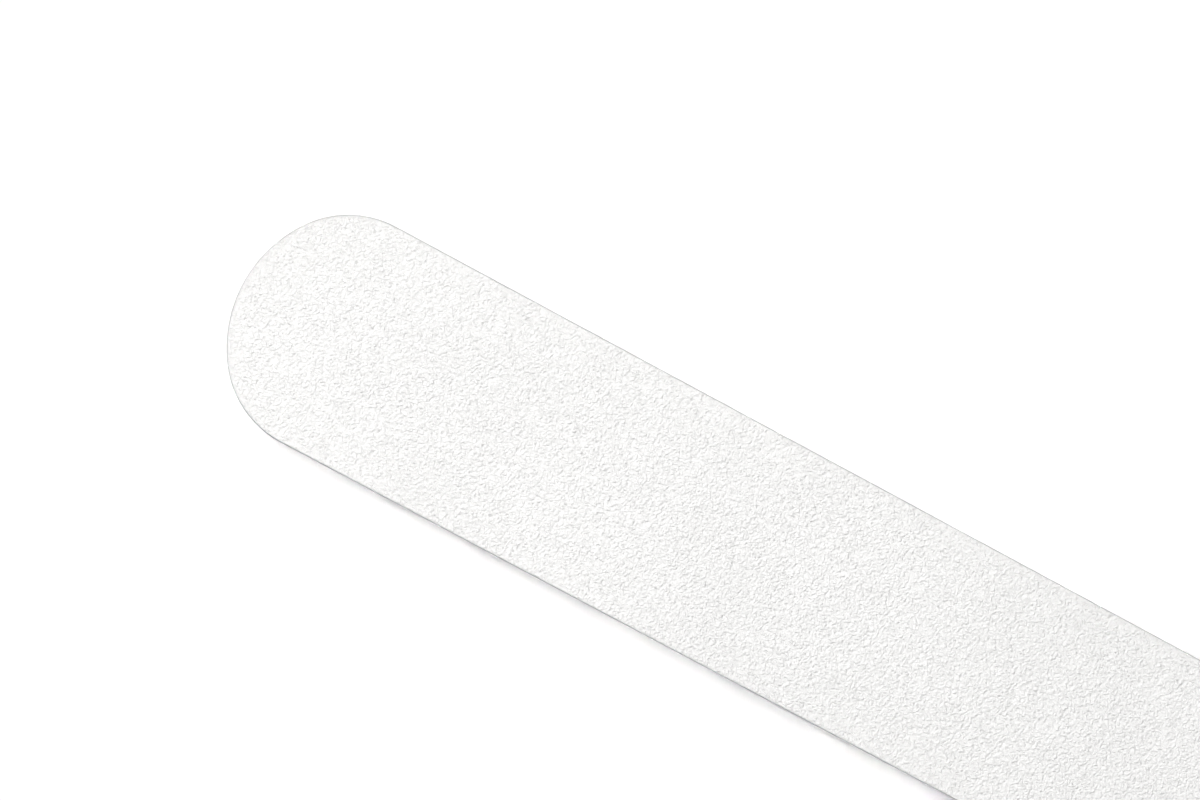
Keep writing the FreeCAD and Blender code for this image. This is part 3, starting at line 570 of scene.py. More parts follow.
def stand_welds(hardware):
    """Beads at the feet, the cross tubes, the ears and the lower spring cups."""
    beads = []
    hoop_low, hoop_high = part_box("left_hoop")
    hoop_y, tube = (hoop_low.y + hoop_high.y) / 2, (hoop_high.y - hoop_low.y) / 2
    foot_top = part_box("front_left_foot")[1].z
    lift = hardware.weld * BEAD_LIFT
    round_tube = tube + lift
    legs = (hoop_low.x + tube, hoop_high.x - tube)
    hoop_leans = {"rear_cross_tube": math.pi / 2, "hinge_beam": 0.0, "front_cross_tube": -math.pi / 4}
    cross = {}
    for node in hoop_leans:
        low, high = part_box(node)
        cross[node] = ((low.x + high.x) / 2, (low.z + high.z) / 2)
    for side in SIDES.values():
        beads += [flat_ring(x, side * hoop_y, foot_top + lift, round_tube, hardware) for x in legs]
        for node, (x, z) in cross.items():
            beads.append(saddle_ring(x, z, side, hoop_y, round_tube, hoop_leans[node], hardware))
    hinge_x, hinge_z = cross["hinge_beam"]
    for side in SIDES:
        for stem in ("inner_ear", "outer_ear"):
            low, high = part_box(f"{side}_{stem}")
            for y in (low.y - lift, high.y + lift):
                beads.append(upright_ring(hinge_x, y, hinge_z, round_tube, hardware))
        beads.append(cup_ring(f"{side}_lower_cup", False, hardware))
    return beads


def carrier_welds(hardware):
    """Beads along the rails, below two plates and above the third, and round the upper cups."""
    beads = []
    lift, inset = hardware.weld * BEAD_LIFT, 0.006
    for side in SIDES:
        rail_low, rail_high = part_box(f"{side}_carrier_rail")
        levels = {
            "rear_mount_plate": rail_high.z - lift,
            "fulcrum_bar": rail_high.z - lift,
            "spring_plate": rail_low.z + lift,
        }
        for plate, level in levels.items():
            low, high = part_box(plate)
            start, end = max(low.x, rail_low.x) + inset, min(high.x, rail_high.x) - inset
            for y in (rail_low.y - lift, rail_high.y + lift):
                beads.append(straight_bead((start, y, level), (end, y, level), hardware))
        beads.append(cup_ring(f"{side}_upper_cup", True, hardware))
    return beads


class DIVING_OT_welds(bpy.types.Operator):
    """Lay rippled weld beads where the steel parts of the stand and the carrier meet"""

    bl_idname = "diving.welds"
    bl_label = "Weld beads"

    def execute(self, context):
        hardware = context.scene.diving_hardware
        make_piece("stand_weld_beads", stand_welds(hardware), "stand", "grey_enamel")
        make_piece("carrier_weld_beads", carrier_welds(hardware), "board", "grey_enamel")
        return {"FINISHED"}


# ---------------------------------------------------------------- fasteners


def lathe(profile, around, shape):
    """Turns a profile of (radius, height) rows about Z.

    shape(radius, turn, height) changes the radius at each place, for threads and flats.
    """
    turn = full_turn(around)[None, :]
    radius = np.broadcast_to(profile[:, :1], (len(profile), around))
    height = np.broadcast_to(profile[:, 1:], (len(profile), around))
    radius = shape(radius, turn, height)
    return np.stack([radius * np.cos(turn), radius * np.sin(turn), height], -1)


def placed(shell, turn, spot):
    """The same shell, turned and moved to its spot."""
    points, quads = shell
    return points.reshape(-1, 3) @ np.array(turn.to_3x3()).T + np.array(spot), quads


def dome_bolt(radius, head, rise, long, thread_long, pitch):
    """A dome-headed bolt standing on z = 0, its shank below.

    The head's profile is a quarter of an ellipse with a small rounded rim. Along the threaded part the
    radius goes in and out as a triangle wave of height over pitch less angle over a full turn.
    """
    rim, ease, run_out, margin, hair = 0.0012, 0.0003, 0.001, 0.0005, 1e-6
    steps_a_pitch, thread_depth = 8, 0.55 * pitch
    quarter = np.linspace(0, math.pi / 2, 14)
    dome = np.stack([head * np.sin(quarter), rim + (rise - rim) * np.cos(quarter)], -1)
    steps = round(thread_long / pitch * steps_a_pitch)
    thread_top = thread_long - long
    threads = np.stack([np.full(steps, radius), np.linspace(thread_top, -long + run_out, steps)], -1)
    profile = np.concatenate([
        dome[1:],
        [[head, 0.0002], [head - ease, 0.0], [radius, 0.0], [radius, thread_top + run_out]],
        threads,
        [[radius - rim, -long]],
    ])

    def threaded(value, turn, height):
        phase = (height / pitch - turn / (2 * np.pi)) % 1.0
        depth = thread_depth * np.abs(2 * phase - 1)
        on_thread = (height < thread_top + hair) & (height > margin - long) & (value > radius - hair)
        return np.where(on_thread, value - depth, value)

    return sealed_tube(lathe(profile, 48, threaded))


def hex_levels(tall):
    """Heights of the points down a hexagon's sides, close together at both ends for the chamfers."""
    near_end = np.array([0, 0.0004, 0.0012, 0.0022])
    return np.concatenate([near_end, [0.5 * tall], tall - near_end[::-1]])


def hexagon(across, chamfer_from, chamfer_to):
    """A shape for lathe: a hexagon's radius at each angle, cut back by a cone near its two ends."""
    flat = across * math.cos(math.pi / 6)
    cone_slope, least, inside = 1.7, 0.985 * flat, 0.9 * flat

    def hexed(value, turn, height):
        side = flat / np.cos((turn % (math.pi / 3)) - math.pi / 6)
        cone = flat + np.minimum(height - chamfer_from, chamfer_to - height) * cone_slope
        return np.where(value > inside, np.minimum(side, np.maximum(cone, least)), value)

    return hexed


def hex_nut(across, bore, tall, collar):
    """A chamfered hexagon nut on z = 0 with a round collar on top, and a plain bore through it."""
    top, ease, round_over = tall - collar, 0.0004, 0.0008
    ring = across * math.cos(math.pi / 6) * 0.9
    levels = hex_levels(top)
    sides = np.stack([np.full(len(levels), across), levels], -1)
    outer, inner = ring * 0.95, ring * 0.9
    profile = np.concatenate([
        [[bore, 0.0], [ring * 0.98, 0.0]],
        sides,
        [[outer, top], [outer, tall - round_over], [inner, tall], [bore, tall]],
    ])
    points = lathe(profile, 72, hexagon(across, -ease, top + ease))
    return points.reshape(-1, 3), grid_quads(*points.shape[:2], loop_rows=True, loop_columns=True)


def hinge_bolt(radius, across, head, long):
    """The hinge shaft: a chamfered hexagon head below z = 0, and above it a shank with a chamfered end."""
    ease, chamfer = 0.0004, 0.0015
    levels = hex_levels(head) - head
    sides = np.stack([np.full(len(levels), across), levels], -1)
    profile = np.concatenate([
        [[across * 0.4, -head], [across * 0.76, -head]],
        sides,
        [[radius, height] for height in (0.0, 0.25 * long, 0.6 * long, long - chamfer)],
        [[radius - chamfer, long]],
    ])
    return sealed_tube(lathe(profile, 72, hexagon(across, -head - ease, ease)))


class DIVING_OT_fasteners(bpy.types.Operator):
    """Turn the clamp bolts, their nuts and the hinge bolt, with threads and chamfers"""

    bl_idname = "diving.fasteners"
    bl_label = "Fasteners"

    def execute(self, context):
        pitch = context.scene.diving_hardware.thread
        low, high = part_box("board_bolts")
        head = (high.x - low.x) / 2
        nut_low, nut_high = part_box("board_nuts")
        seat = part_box("bolt_washers")[1].z
        radius, thread_long, collar = 0.006, 0.045, 0.0028
        bolt = dome_bolt(radius, head, high.z - seat, seat - low.z, thread_long, pitch)
        middle = ((low.x + high.x) / 2, high.y - head)
        no_turn = Matrix.Identity(3)
        spots = [(middle[0], side * middle[1]) for side in SIDES.values()]
        bolts = [placed(bolt, no_turn, (*spot, seat)) for spot in spots]
        piece = make_piece("clamp_bolts", bolts, "board", "stainless", sharp=math.radians(40))
        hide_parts("board_bolts")

        tall = nut_high.z - nut_low.z
        nut = hex_nut((nut_high.x - nut_low.x) / 2, radius * 0.92, tall, collar)
        over = Matrix.Rotation(math.pi, 3, "X")
        nuts = [placed(nut, over, (*spot, nut_high.z)) for spot in spots]
        piece = make_piece("clamp_nuts", nuts, "board", "stainless", sharp=math.radians(30))
        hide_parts("board_nuts")

        low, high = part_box("hinge_shaft")
        nut_low, nut_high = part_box("hinge_nut")
        across = (nut_high.x - nut_low.x) / 2
        radius, bore, collar = 0.010, 0.0099, 0.0035
        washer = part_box("hinge_washers")[0].y
        spot = np.array([(low.x + high.x) / 2, 0.0, (low.z + high.z) / 2])
        quarter = Matrix.Rotation(-math.pi / 2, 3, "X")
        shaft = hinge_bolt(radius, across, washer - low.y, high.y - washer)
        shell = placed(shaft, quarter, spot + [0, washer, 0])
        piece = make_piece("hinge_bolt", [shell], "stand", "stainless", sharp=math.radians(30))
        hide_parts("hinge_shaft")
        lock = hex_nut(across, bore, nut_high.y - nut_low.y, collar)
        shell = placed(lock, quarter, spot + [0, nut_low.y, 0])
        piece = make_piece("hinge_lock_nut", [shell], "stand", "stainless", sharp=math.radians(30))
        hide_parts("hinge_nut")
        return {"FINISHED"}


# ---------------------------------------------------------------- shader helpers


class Tree:
    """Adds nodes to a node tree. Inputs are numbers, colours or other nodes' outputs, by socket name."""

    def __init__(self, tree):
        self.tree = tree

    def plug(self, node, values):
        """Sets a node's sockets to numbers or colours, or links them to other nodes' outputs."""
        for socket, value in values.items():
            if isinstance(value, bpy.types.NodeSocket):
                self.tree.links.new(value, node.inputs[socket])
            else:
                node.inputs[socket].default_value = value

    def add(self, kind, values=None, **settings):
        node = self.tree.nodes.new(kind)
        for key, value in settings.items():
            setattr(node, key, value)
        self.plug(node, values or {})
        return node

    def math(self, operation, first, second=0.0, clamp=False):
        node = self.add("ShaderNodeMath", {0: first, 1: second}, operation=operation, use_clamp=clamp)
        return node.outputs[0]

    def weighed(self, first, weight, second, other_weight, clamp=False):
        """The sum of two values, each times its own weight."""
        parts = self.math("MULTIPLY", first, weight), self.math("MULTIPLY", second, other_weight)
        return self.math("ADD", *parts, clamp=clamp)

    def vector(self, operation, first, second):
        """A sum, product or dot product of two vectors."""
        node = self.add("ShaderNodeVectorMath", {0: first, 1: second}, operation=operation)
        return node.outputs["Value" if operation == "DOT_PRODUCT" else "Vector"]

    def span(self, value, low, high, to_low=0.0, to_high=1.0):
        """Stretches a value's range to another, and keeps it inside."""
        values = {0: value, 1: low, 2: high, 3: to_low, 4: to_high}
        return self.add("ShaderNodeMapRange", values).outputs[0]

    def mix(self, share, first, second):
        """A colour part of the way from the first to the second."""
        node = self.add("ShaderNodeMix", {0: share, 6: first, 7: second}, data_type="RGBA")
        return node.outputs[2]

    def noise(self, vector, scale, detail=2.0, roughness=0.5):
        values = {"Vector": vector, "Scale": scale, "Detail": detail, "Roughness": roughness}
        return self.add("ShaderNodeTexNoise", values).outputs["Fac"]

    def stretched(self, vector, scale):
        """Coordinates scaled by a different amount along each axis."""
        return self.add("ShaderNodeMapping", {"Vector": vector, "Scale": scale}).outputs[0]


def effect(name, inputs, outputs, build):
    """A node group with named sockets: build(tree, inputs) returns the outputs' values in order."""
    group = bpy.data.node_groups.new(name, "ShaderNodeTree")
    for label, kind, default in inputs:
        socket = group.interface.new_socket(label, in_out="INPUT", socket_type=kind)
        if default is not None:
            socket.default_value = default
    for label, kind in outputs:
        group.interface.new_socket(label, in_out="OUTPUT", socket_type=kind)
    tree = Tree(group)
    given = tree.add("NodeGroupInput")
    results = build(tree, {label: given.outputs[label] for label, _, _ in inputs})
    sink = tree.add("NodeGroupOutput")
    for (label, _), value in zip(outputs, results):
        group.links.new(value, sink.inputs[label])
    return group


VECTOR, FLOAT, COLOUR = "NodeSocketVector", "NodeSocketFloat", "NodeSocketColor"


def pebble_effect():
    """Rounded grit: soft cells with creases between them, broken up by finer noise, and a mask of the
    creases for painted shade.
    """

    def build(tree, given):
        where, scale, warp_reach = given["Vector"], given["Scale"], 0.0018
        warp = tree.add("ShaderNodeTexNoise", {"Vector": where, "Scale": scale, "Detail": 1.0})
        shift = tree.vector("MULTIPLY", warp.outputs["Color"], (warp_reach,) * 3)
        moved = tree.vector("ADD", where, shift)
        cells = tree.add(
            "ShaderNodeTexVoronoi", {"Vector": moved, "Scale": scale, "Smoothness": 0.6},
            feature="SMOOTH_F1",
        ).outputs["Distance"]
        noise = tree.noise(where, tree.math("MULTIPLY", scale, 1.7), 1.5, 0.45)
        height = tree.weighed(tree.math("SUBTRACT", 1.0, cells), 0.50, noise, 0.85)
        # The crease mask is 1 in the low ground between the cells, where the tread paints shade.
        crease_shade = tree.span(height, 0.52, 0.78, 1.0, 0.0)
        return height, crease_shade

    return effect(
        "Pebble grit", [("Vector", VECTOR, None), ("Scale", FLOAT, 120.0)],
        [("Height", FLOAT), ("Crease", FLOAT)], build,
    )


def mottle_effect():
    """A colour that drifts between two close shades over the surface."""

    def build(tree, given):
        broad = tree.noise(given["Vector"], given["Scale"], 3.0)
        share = tree.span(broad, 0.35, 0.65)
        return tree.mix(share, given["Dark"], given["Light"]), share

    return effect(
        "Mottle",
        [("Vector", VECTOR, None), ("Scale", FLOAT, 5.0), ("Dark", COLOUR, (0.4, 0.4, 0.4, 1)),
         ("Light", COLOUR, (0.6, 0.6, 0.6, 1))],
        [("Colour", COLOUR), ("Share", FLOAT)], build,
    )


def edge_effect():
    """A mask of rubbed edges: where a rounded normal leaves the true one, broken up by noise."""

    def build(tree, given):
        rounded = tree.add("ShaderNodeBevel", {"Radius": given["Width"]}, samples=4).outputs[0]
        true = tree.add("ShaderNodeNewGeometry").outputs["Normal"]
        turned = tree.span(tree.vector("DOT_PRODUCT", rounded, true), 0.985, 0.86)
        broken = tree.noise(given["Vector"], given["Scale"], 4.0, 0.6)
        rubbed = tree.math("MULTIPLY", turned, tree.span(broken, 0.46, 0.58))
        return (tree.math("MULTIPLY", rubbed, given["Amount"], clamp=True),)

    return effect(
        "Rubbed edges",
        [("Vector", VECTOR, None), ("Width", FLOAT, 0.002), ("Scale", FLOAT, 60.0), ("Amount", FLOAT, 0.6)],
        [("Mask", FLOAT)], build,
    )


def dust_effect():
    """A mask of settled dust: on faces that look up, in soft patches with specks."""

    def build(tree, given):
        normal = tree.add("ShaderNodeNewGeometry").outputs["Normal"]
        up = tree.add("ShaderNodeSeparateXYZ", {0: normal}).outputs["Z"]
        facing = tree.span(up, 0.2, 0.95)
        patches = tree.span(tree.noise(given["Vector"], 9.0, 4.0, 0.6), 0.38, 0.7)
        specks = tree.span(tree.noise(given["Vector"], 700.0, 1.0), 0.5, 0.75)
        settled = tree.math("MULTIPLY", facing, tree.weighed(patches, 0.7, specks, 0.5))
        return (tree.math("MULTIPLY", settled, given["Amount"], clamp=True),)

    return effect(
        "Settled dust", [("Vector", VECTOR, None), ("Amount", FLOAT, 0.3)], [("Mask", FLOAT)], build
    )


def streak_effect():
    """Fine scratches that run one way, as brushing or turning leaves them."""

    def build(tree, given):
        along = tree.stretched(given["Vector"], (60.0, 60.0, 2200.0))
        lines = tree.noise(along, 1.0, 3.0, 0.65)
        return (lines,)

    return effect("Brushed streaks", [("Vector", VECTOR, None)], [("Lines", FLOAT)], build)


# ---------------------------------------------------------------- finishes


class Finish:
    """A material under construction: its tree, its Principled shader and its object coordinates."""

    def __init__(self, name, effects, plain):
        self.material = bpy.data.materials.new(name)
        self.material.use_nodes = True
        self.material.node_tree.nodes.clear()
        self.tree = Tree(self.material.node_tree)
        self.effects = effects
        self.where = self.tree.add("ShaderNodeTexCoord").outputs["Object"]
        self.shader = self.tree.add("ShaderNodeBsdfPrincipled")
        self.tree.add("ShaderNodeOutputMaterial", {"Surface": self.shader.outputs[0]})
        self.tree.plug(self.shader, plain)

    def feed(self, socket, value):
        self.tree.plug(self.shader, {socket: value})

    def paint(self, colour):
        self.feed("Base Color", colour)

    def use(self, effect_name, **values):
        """Places an effect group with its own values."""
        node = self.tree.add("ShaderNodeGroup", node_tree=self.effects[effect_name])
        self.tree.plug(node, {"Vector": self.where, **values})
        return node.outputs

    def drift(self, rgb, scale, dark, light):
        """A colour that drifts between a darker and a lighter shade of one."""
        return self.use("mottle", Scale=scale, Dark=shade(rgb, dark), Light=shade(rgb, light))

    def between(self, share, rgb, first, second):
        """Two shades of one colour, mixed by a share."""
        return self.tree.mix(share, shade(rgb, first), shade(rgb, second))

    def bump(self, height, distance, strength=1.0):
        values = {"Height": height, "Distance": distance, "Strength": strength}
        self.feed("Normal", self.tree.add("ShaderNodeBump", values).outputs[0])


def shade(rgb, factor):
    """The colour made lighter or darker, with full alpha."""
    return (*[min(channel * factor, 1.0) for channel in rgb], 1.0)


def tread_finish(finish, tree, rgb):
    """White acrylic with coarse grit: matt, pebbled, with painted shade: a little darker in the creases and
    darker on the rounded rim.
    """
    rim = tree.add("ShaderNodeAttribute", attribute_name="rim").outputs["Fac"]
    grit = finish.use("pebble", Scale=150.0)
    base = finish.drift(rgb, 2.2, 0.985, 1.012)
    # Painted shade: the creases are mixed a little towards a darker shade of the tread colour.
    crease_shade = tree.math("MULTIPLY", grit["Crease"], 0.03)
    crease_shaded_grain = tree.mix(crease_shade, base["Colour"], shade(rgb, 0.55))
    # Painted shade: the rounded rim and the sides are painted at 0.72 of the tread colour, darker than the
    # top.
    finish.paint(tree.mix(rim, crease_shaded_grain, shade(rgb, 0.72)))
    finish.feed("Roughness", tree.span(grit["Height"], 0.4, 0.9, 0.92, 0.68))
    height = tree.math("MULTIPLY", grit["Height"], tree.span(rim, 0.0, 1.0, 1.0, 0.12))
    finish.bump(height, 0.0078, 1.0)


def shell_finish(finish, tree, rgb):
    """Smooth gel coat: glossy, faintly wavy, with hairline scuffs."""
    base = finish.drift(rgb, 3.0, 0.97, 1.01)
    scuffs = tree.noise(tree.stretched(finish.where, (14.0, 90.0, 260.0)), 1.0, 5.0, 0.6)
    scuffed = tree.span(scuffs, 0.56, 0.7)
    dulled = tree.math("MULTIPLY", scuffed, 0.2)
    finish.paint(tree.mix(dulled, base["Colour"], shade(rgb, 0.8)))
    finish.feed("Roughness", tree.span(scuffs, 0.5, 0.72, 0.16, 0.42))
    finish.bump(tree.noise(finish.where, 26.0, 2.0), 0.0008, 0.35)


def laminate_finish(finish, tree, rgb):
    """Glass laminate: short strands that cross under resin."""
    strands = []
    for turn, scale in ((0.5, 380.0), (2.1, 480.0)):
        turned = tree.add("ShaderNodeMapping", {"Vector": finish.where, "Rotation": (0, 0, turn)})
        drawn_out = tree.stretched(turned.outputs[0], (0.16, 1.0, 1.0))
        strands.append(tree.noise(drawn_out, scale, 2.0, 0.6))
    cross = tree.math("MAXIMUM", *strands)
    share = tree.span(cross, 0.45, 0.75)
    finish.paint(finish.between(share, rgb, 0.86, 1.05))
    finish.feed("Roughness", tree.span(cross, 0.4, 0.8, 0.55, 0.28))
    finish.bump(cross, 0.0010, 0.5)


def timber_finish(finish, tree, rgb):
    """Sawn fir: rings drawn out along the stave, with pores."""
    drawn = tree.stretched(finish.where, (1.0, 14.0, 14.0))
    rings = tree.add("ShaderNodeTexWave", {
        "Vector": drawn, "Scale": 3.2, "Distortion": 7.0, "Detail": 3.0, "Detail Scale": 1.4,
    }, wave_type="BANDS", bands_direction="Y").outputs["Fac"]
    pores = tree.noise(tree.stretched(finish.where, (25.0, 900.0, 900.0)), 1.0, 2.0)
    tone = tree.weighed(rings, 0.7, pores, 0.3, clamp=True)
    finish.paint(finish.between(tone, rgb, 0.7, 1.25))
    finish.bump(tone, 0.0006, 0.5)


def enamel_finish(finish, tree, rgb):
    """Powder coat: fine orange peel, rubbed through to lighter primer at edges, dusty on top."""
    base = finish.drift(rgb, 6.0, 0.93, 1.06)
    rubbed = finish.use("edge", Width=0.0022, Scale=55.0, Amount=0.55)["Mask"]
    dust = finish.use("dust", Amount=0.22)["Mask"]
    worn = tree.mix(rubbed, base["Colour"], shade(rgb, 2.3))
    finish.paint(tree.mix(dust, worn, (0.42, 0.40, 0.36, 1)))
    peel = tree.noise(finish.where, 620.0, 1.0)
    rough = tree.span(tree.noise(finish.where, 14.0, 3.0), 0.3, 0.7, 0.34, 0.48)
    finish.feed("Roughness", tree.math("ADD", rough, tree.math("MULTIPLY", dust, 0.8), clamp=True))
    finish.bump(peel, 0.0005, 0.35)


def spring_finish(finish, tree, rgb):
    """Dark coating on wire, rubbed grey in spots."""
    flakes = tree.noise(finish.where, 48.0, 5.0, 0.62)
    rubbed = tree.span(flakes, 0.6, 0.68)
    dust = finish.use("dust", Amount=0.25)["Mask"]
    worn = finish.between(tree.math("MULTIPLY", rubbed, 0.6), rgb, 1.0, 5.0)
    finish.paint(tree.mix(dust, worn, (0.30, 0.28, 0.25, 1)))
    finish.feed("Roughness", tree.span(flakes, 0.3, 0.7, 0.28, 0.5))
    finish.bump(tree.noise(finish.where, 420.0, 2.0), 0.0004, 0.4)


def steel_finish(finish, tree, rgb):
    """Stainless steel: fine turning marks that break up the shine."""
    lines = finish.use("streaks")["Lines"]
    smears = tree.noise(finish.where, 60.0, 3.0)
    smeared = tree.span(smears, 0.3, 0.7)
    finish.paint(finish.between(smeared, rgb, 0.88, 1.06))
    finish.feed("Roughness", tree.span(lines, 0.3, 0.7, 0.2, 0.42))
    finish.bump(lines, 0.0002, 0.25)


def rubber_finish(finish, tree, rgb):
    """Moulded rubber: matt black with bloom and settled dust."""
    base = finish.drift(rgb, 22.0, 0.8, 1.6)
    dust = finish.use("dust", Amount=0.3)["Mask"]
    finish.paint(tree.mix(dust, base["Colour"], (0.20, 0.19, 0.175, 1)))
    finish.feed("Roughness", tree.span(base["Share"], 0.0, 1.0, 0.7, 0.86))
    finish.bump(tree.noise(finish.where, 900.0, 2.0), 0.0003, 0.5)


def plastic_finish(finish, tree, rgb):
    """Moulded plastic with a fine leather texture."""
    cells = tree.add("ShaderNodeTexVoronoi", {"Vector": finish.where, "Scale": 900.0}).outputs["Distance"]
    base = finish.drift(rgb, 30.0, 0.9, 1.5)
    rubbed = finish.use("edge", Width=0.0015, Scale=80.0, Amount=0.4)["Mask"]
    finish.paint(tree.mix(rubbed, base["Colour"], shade(rgb, 5.0)))
    finish.feed("Roughness", tree.span(cells, 0.0, 0.8, 0.44, 0.6))
    finish.bump(cells, 0.0003, 0.4)


def nylon_finish(finish, tree, rgb):
    """Natural nylon, waxy, with flow marks and smears of grease."""
    base = finish.drift(rgb, 60.0, 0.85, 1.05)
    finish.paint(base["Colour"])
    finish.feed("Roughness", tree.span(base["Share"], 0.0, 1.0, 0.3, 0.46))
    finish.bump(tree.noise(finish.where, 300.0, 2.0), 0.0002, 0.3)


# Each slot has its material's name, what builds it, the setting that holds its colour, and its plain values.
FINISHES = {
    "tread_grit": ("Grit tread", tread_finish, "tread", {"Roughness": 0.8, "Specular IOR Level": 0.35}),
    "shell_gelcoat": (
        "Gel coat", shell_finish, "shell", {"Roughness": 0.2, "Coat Weight": 0.35, "Coat Roughness": 0.08},
    ),
    "skin_laminate": (
        "Glass laminate", laminate_finish, "laminate", {"Roughness": 0.4, "Coat Weight": 0.15},
    ),
    "core_timber": ("Sawn fir", timber_finish, "timber", {"Roughness": 0.6}),
    "grey_enamel": ("Powder coat", enamel_finish, "enamel", {"Roughness": 0.4, "Specular IOR Level": 0.5}),
    "spring_steel": ("Coated wire", spring_finish, "spring", {"Roughness": 0.35, "Coat Weight": 0.2}),
    "stainless": ("Stainless", steel_finish, "steel", {"Roughness": 0.3, "Metallic": 1.0}),
    "black_rubber": (
        "Black rubber", rubber_finish, "rubber", {"Roughness": 0.78, "Specular IOR Level": 0.3},
    ),
    "cap_plastic": ("Black plastic", plastic_finish, "plastic", {"Roughness": 0.5}),
    "bush_nylon": ("Natural nylon", nylon_finish, "nylon", {"Roughness": 0.38}),
}


class DIVING_OT_finishes(bpy.types.Operator):
    """Give every node and every new piece the finish of its material slot"""

    bl_idname = "diving.finishes"
    bl_label = "Finishes"

    def execute(self, context):
        colours = context.scene.diving_finish
        effects = {
            "pebble": pebble_effect(),
            "mottle": mottle_effect(),
            "edge": edge_effect(),
            "dust": dust_effect(),
            "streaks": streak_effect(),
        }
        made = {}
        for slot, (name, build, setting, plain) in FINISHES.items():
            finish = Finish(name, effects, plain)
            build(finish, finish.tree, getattr(colours, setting))
            made[slot] = finish.material
        slots = {entry["node"]: entry["material_slot"] for entry in frame["record"]["subparts"]}
        for node, piece in frame["nodes"].items():
            piece.data.materials.clear()
            piece.data.materials.append(made[slots[node]])
        for piece in context.scene.objects:
            if piece.type == "MESH" and "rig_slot" in piece:
                piece.data.materials.append(made[piece["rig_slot"]])
        return {"FINISHED"}


# ---------------------------------------------------------------- stage


def add_light(name, kind, energy, spot, aim, receivers, **settings):
    """A light at a spot, turned to its aim, out of the camera's sight, which lights only its receivers."""
    data = bpy.data.lights.new(name, kind)
    data.energy = energy
    for key, value in settings.items():
        setattr(data, key, value)
    light = bpy.data.objects.new(name, data)
    light.location = spot
    light.rotation_euler = (Vector(aim) - Vector(spot)).to_track_quat("-Z", "Y").to_euler()
    light.visible_camera = False
    light.light_linking.receiver_collection = receivers
    bpy.context.scene.collection.objects.link(light)


def add_sun(name, share, spot, aim, receivers, degrees):
    """A sun as wide as these degrees. A share of 1 would make a level white surface exactly white."""
    add_light(name, "SUN", share * math.pi, spot, aim, receivers, angle=math.radians(degrees))


def receivers_of(floor, state):
    """A list for lights that either holds the floor alone or leaves only the floor out."""
    group = bpy.data.collections.new(f"floor_{state.lower()}")
    group.objects.link(floor)
    group.collection_objects[0].light_linking.link_state = state
    return group


def add_floor():
    """A wide pale deck under the feet."""
    reach = 40.0
    corners = [(x * reach, y * reach, 0) for x, y in ((-1, -1), (1, -1), (1, 1), (-1, 1))]
    mesh = bpy.data.meshes.new("floor")
    mesh.from_pydata(corners, [], [(0, 1, 2, 3)])
    floor = bpy.data.objects.new("floor", mesh)
    bpy.context.scene.collection.objects.link(floor)
    material = bpy.data.materials.new("Pale floor")
    material.use_nodes = True
    pale = {
        "Base Color": (0.94, 0.94, 0.94, 1), "Roughness": 1.0, "Specular IOR Level": 0.0,
        "Emission Color": (1, 1, 1, 1), "Emission Strength": 0.09,
    }
    Tree(material.node_tree).plug(material.node_tree.nodes["Principled BSDF"], pale)
    mesh.materials.append(material)
    return floor


def add_world(ambient):
    """Even white light from all round, and a white backdrop for the camera."""
    world = bpy.data.worlds.new("Studio")
    world.use_nodes = True
    world.node_tree.nodes.clear()
    tree = Tree(world.node_tree)
    seen = tree.add("ShaderNodeLightPath").outputs["Is Camera Ray"]
    seen_strength = 1.1
    strength = tree.span(seen, 0.0, 1.0, ambient, seen_strength)
    backdrop = tree.add("ShaderNodeBackground", {"Color": (1, 1, 1, 1), "Strength": strength})
    tree.add("ShaderNodeOutputWorld", {"Surface": backdrop.outputs[0]})
    bpy.context.scene.world = world


def add_camera(stage, tip, top):
    """A long lens over the board, leaning a little towards the tip."""
    aim = Vector((tip - stage.aim_back, stage.aim_side, top))
    back = Vector((math.tan(stage.tilt_long), math.tan(stage.tilt_side), 1.0)).normalized()
    along = Vector((1, 0, 0))
    along = (along - back * along.dot(back)).normalized()
    across = back.cross(along)
    right = along * math.cos(stage.roll) + across * math.sin(stage.roll)
    up = back.cross(right)
    camera = bpy.data.objects.new("camera", bpy.data.cameras.new("camera"))
    camera.data.lens = stage.lens
    camera.data.clip_end = 200.0
    axes = Matrix((right, up, back)).transposed().to_4x4()
    camera.matrix_world = Matrix.Translation(aim + back * stage.distance) @ axes
    bpy.context.scene.collection.objects.link(camera)
    bpy.context.scene.camera = camera
    return aim, right, up


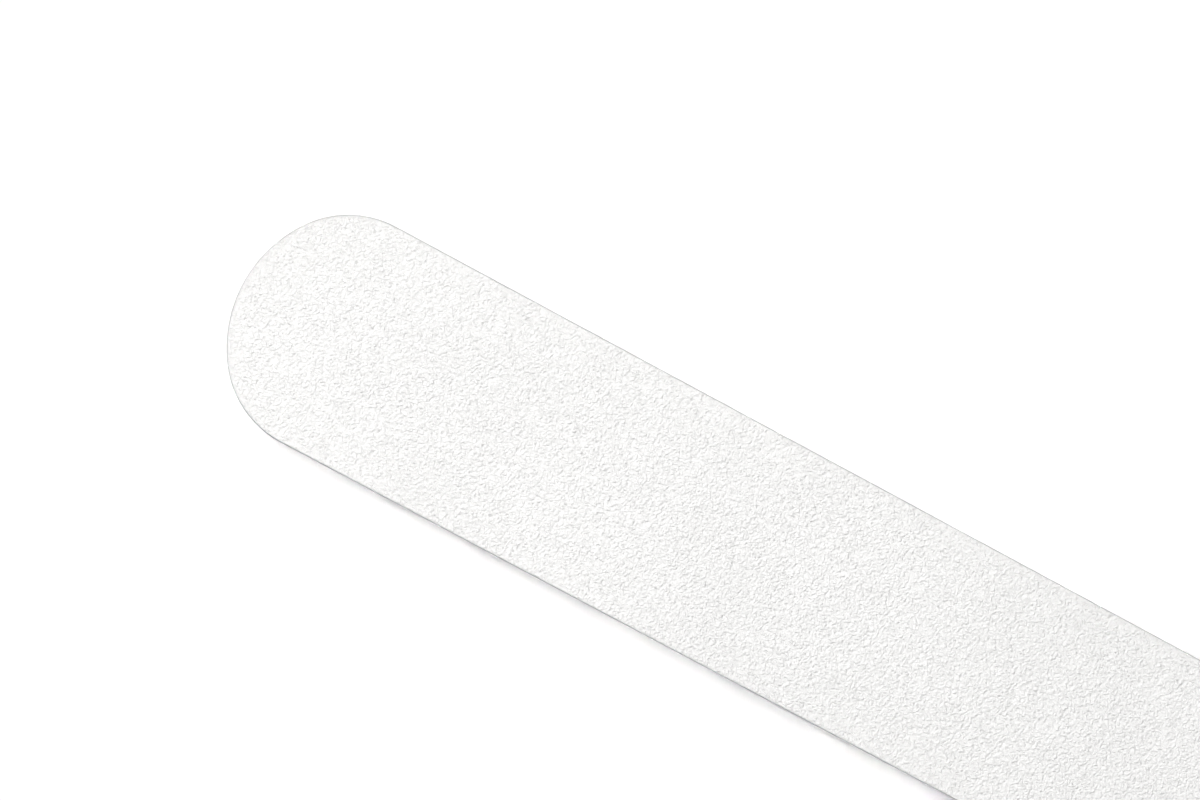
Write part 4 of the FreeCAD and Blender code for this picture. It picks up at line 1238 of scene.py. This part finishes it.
class DIVING_OT_stage(bpy.types.Operator):
    """Set the floor, the soft lights and the camera"""

    bl_idname = "diving.stage"
    bl_label = "Stage"

    def execute(self, context):
        stage = context.scene.diving_stage
        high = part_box("non_slip_tread")[1]
        floor = add_floor()
        add_world(stage.ambient)
        aim, right, up = add_camera(stage, high.x, high.z)
        board_only = receivers_of(floor, "EXCLUDE")
        floor_only = receivers_of(floor, "INCLUDE")

        above = aim + Vector((0.033, -0.032, 1.0))
        add_sun("overhead", stage.overhead, above, aim, None, 7)
        add_sun("backdrop", stage.backdrop, above, aim, floor_only, 7)
        tip = Vector((high.x, 0.0, high.z))
        beyond = tip + Vector((0.9, -0.7, 5.5))
        add_light("key", "AREA", stage.key, beyond, tip, board_only, shape="DISK", size=1.2)
        low_beam = aim + (up * 0.80 - right * 0.60) + Vector((0, 0, 0.5))
        add_sun("rake", stage.rake, low_beam, aim, board_only, 12)
        for name, sign in SIDES.items():
            beside = aim + Vector((0.5, 1.0, 0.0)) * sign + Vector((0, 0, 0.32))
            add_sun(f"{name}_fill", stage.fill, beside, aim, board_only, 60)
        context.scene.view_settings.view_transform = "Standard"
        return {"FINISHED"}


# ---------------------------------------------------------------- panel and registration


class DIVING_PT_looks(bpy.types.Panel):
    """Lists the steps that dress the board, in order"""

    bl_idname = "DIVING_PT_looks"
    bl_label = "Diving board"
    bl_space_type = "VIEW_3D"
    bl_region_type = "UI"
    bl_category = "Diving board"

    def draw(self, context):
        for group in GROUPS:
            box = self.layout.box()
            settings = getattr(context.scene, group)
            for name in settings.bl_rna.properties.keys():
                if name not in ("rna_type", "name"):
                    box.prop(settings, name)
        for step in STEPS:
            self.layout.operator(step.bl_idname)


GROUPS = {
    "diving_tread": TreadSettings,
    "diving_hardware": HardwareSettings,
    "diving_finish": FinishSettings,
    "diving_stage": StageSettings,
}
STEPS = (
    DIVING_OT_tread,
    DIVING_OT_springs,
    DIVING_OT_welds,
    DIVING_OT_fasteners,
    DIVING_OT_finishes,
    DIVING_OT_stage,
)


def register():
    for group in GROUPS.values():
        bpy.utils.register_class(group)
    for step in STEPS:
        bpy.utils.register_class(step)
    bpy.utils.register_class(DIVING_PT_looks)
    for name, group in GROUPS.items():
        setattr(bpy.types.Scene, name, PointerProperty(type=group))


def unregister():
    for name in GROUPS:
        delattr(bpy.types.Scene, name)
    bpy.utils.unregister_class(DIVING_PT_looks)
    for step in reversed(STEPS):
        bpy.utils.unregister_class(step)
    for group in reversed(GROUPS.values()):
        bpy.utils.unregister_class(group)


def main():
    register()
    bpy.ops.diving.tread()
    bpy.ops.diving.springs()
    bpy.ops.diving.welds()
    bpy.ops.diving.fasteners()
    bpy.ops.diving.finishes()
    bpy.ops.diving.stage()


if __name__ == "__main__":
    main()
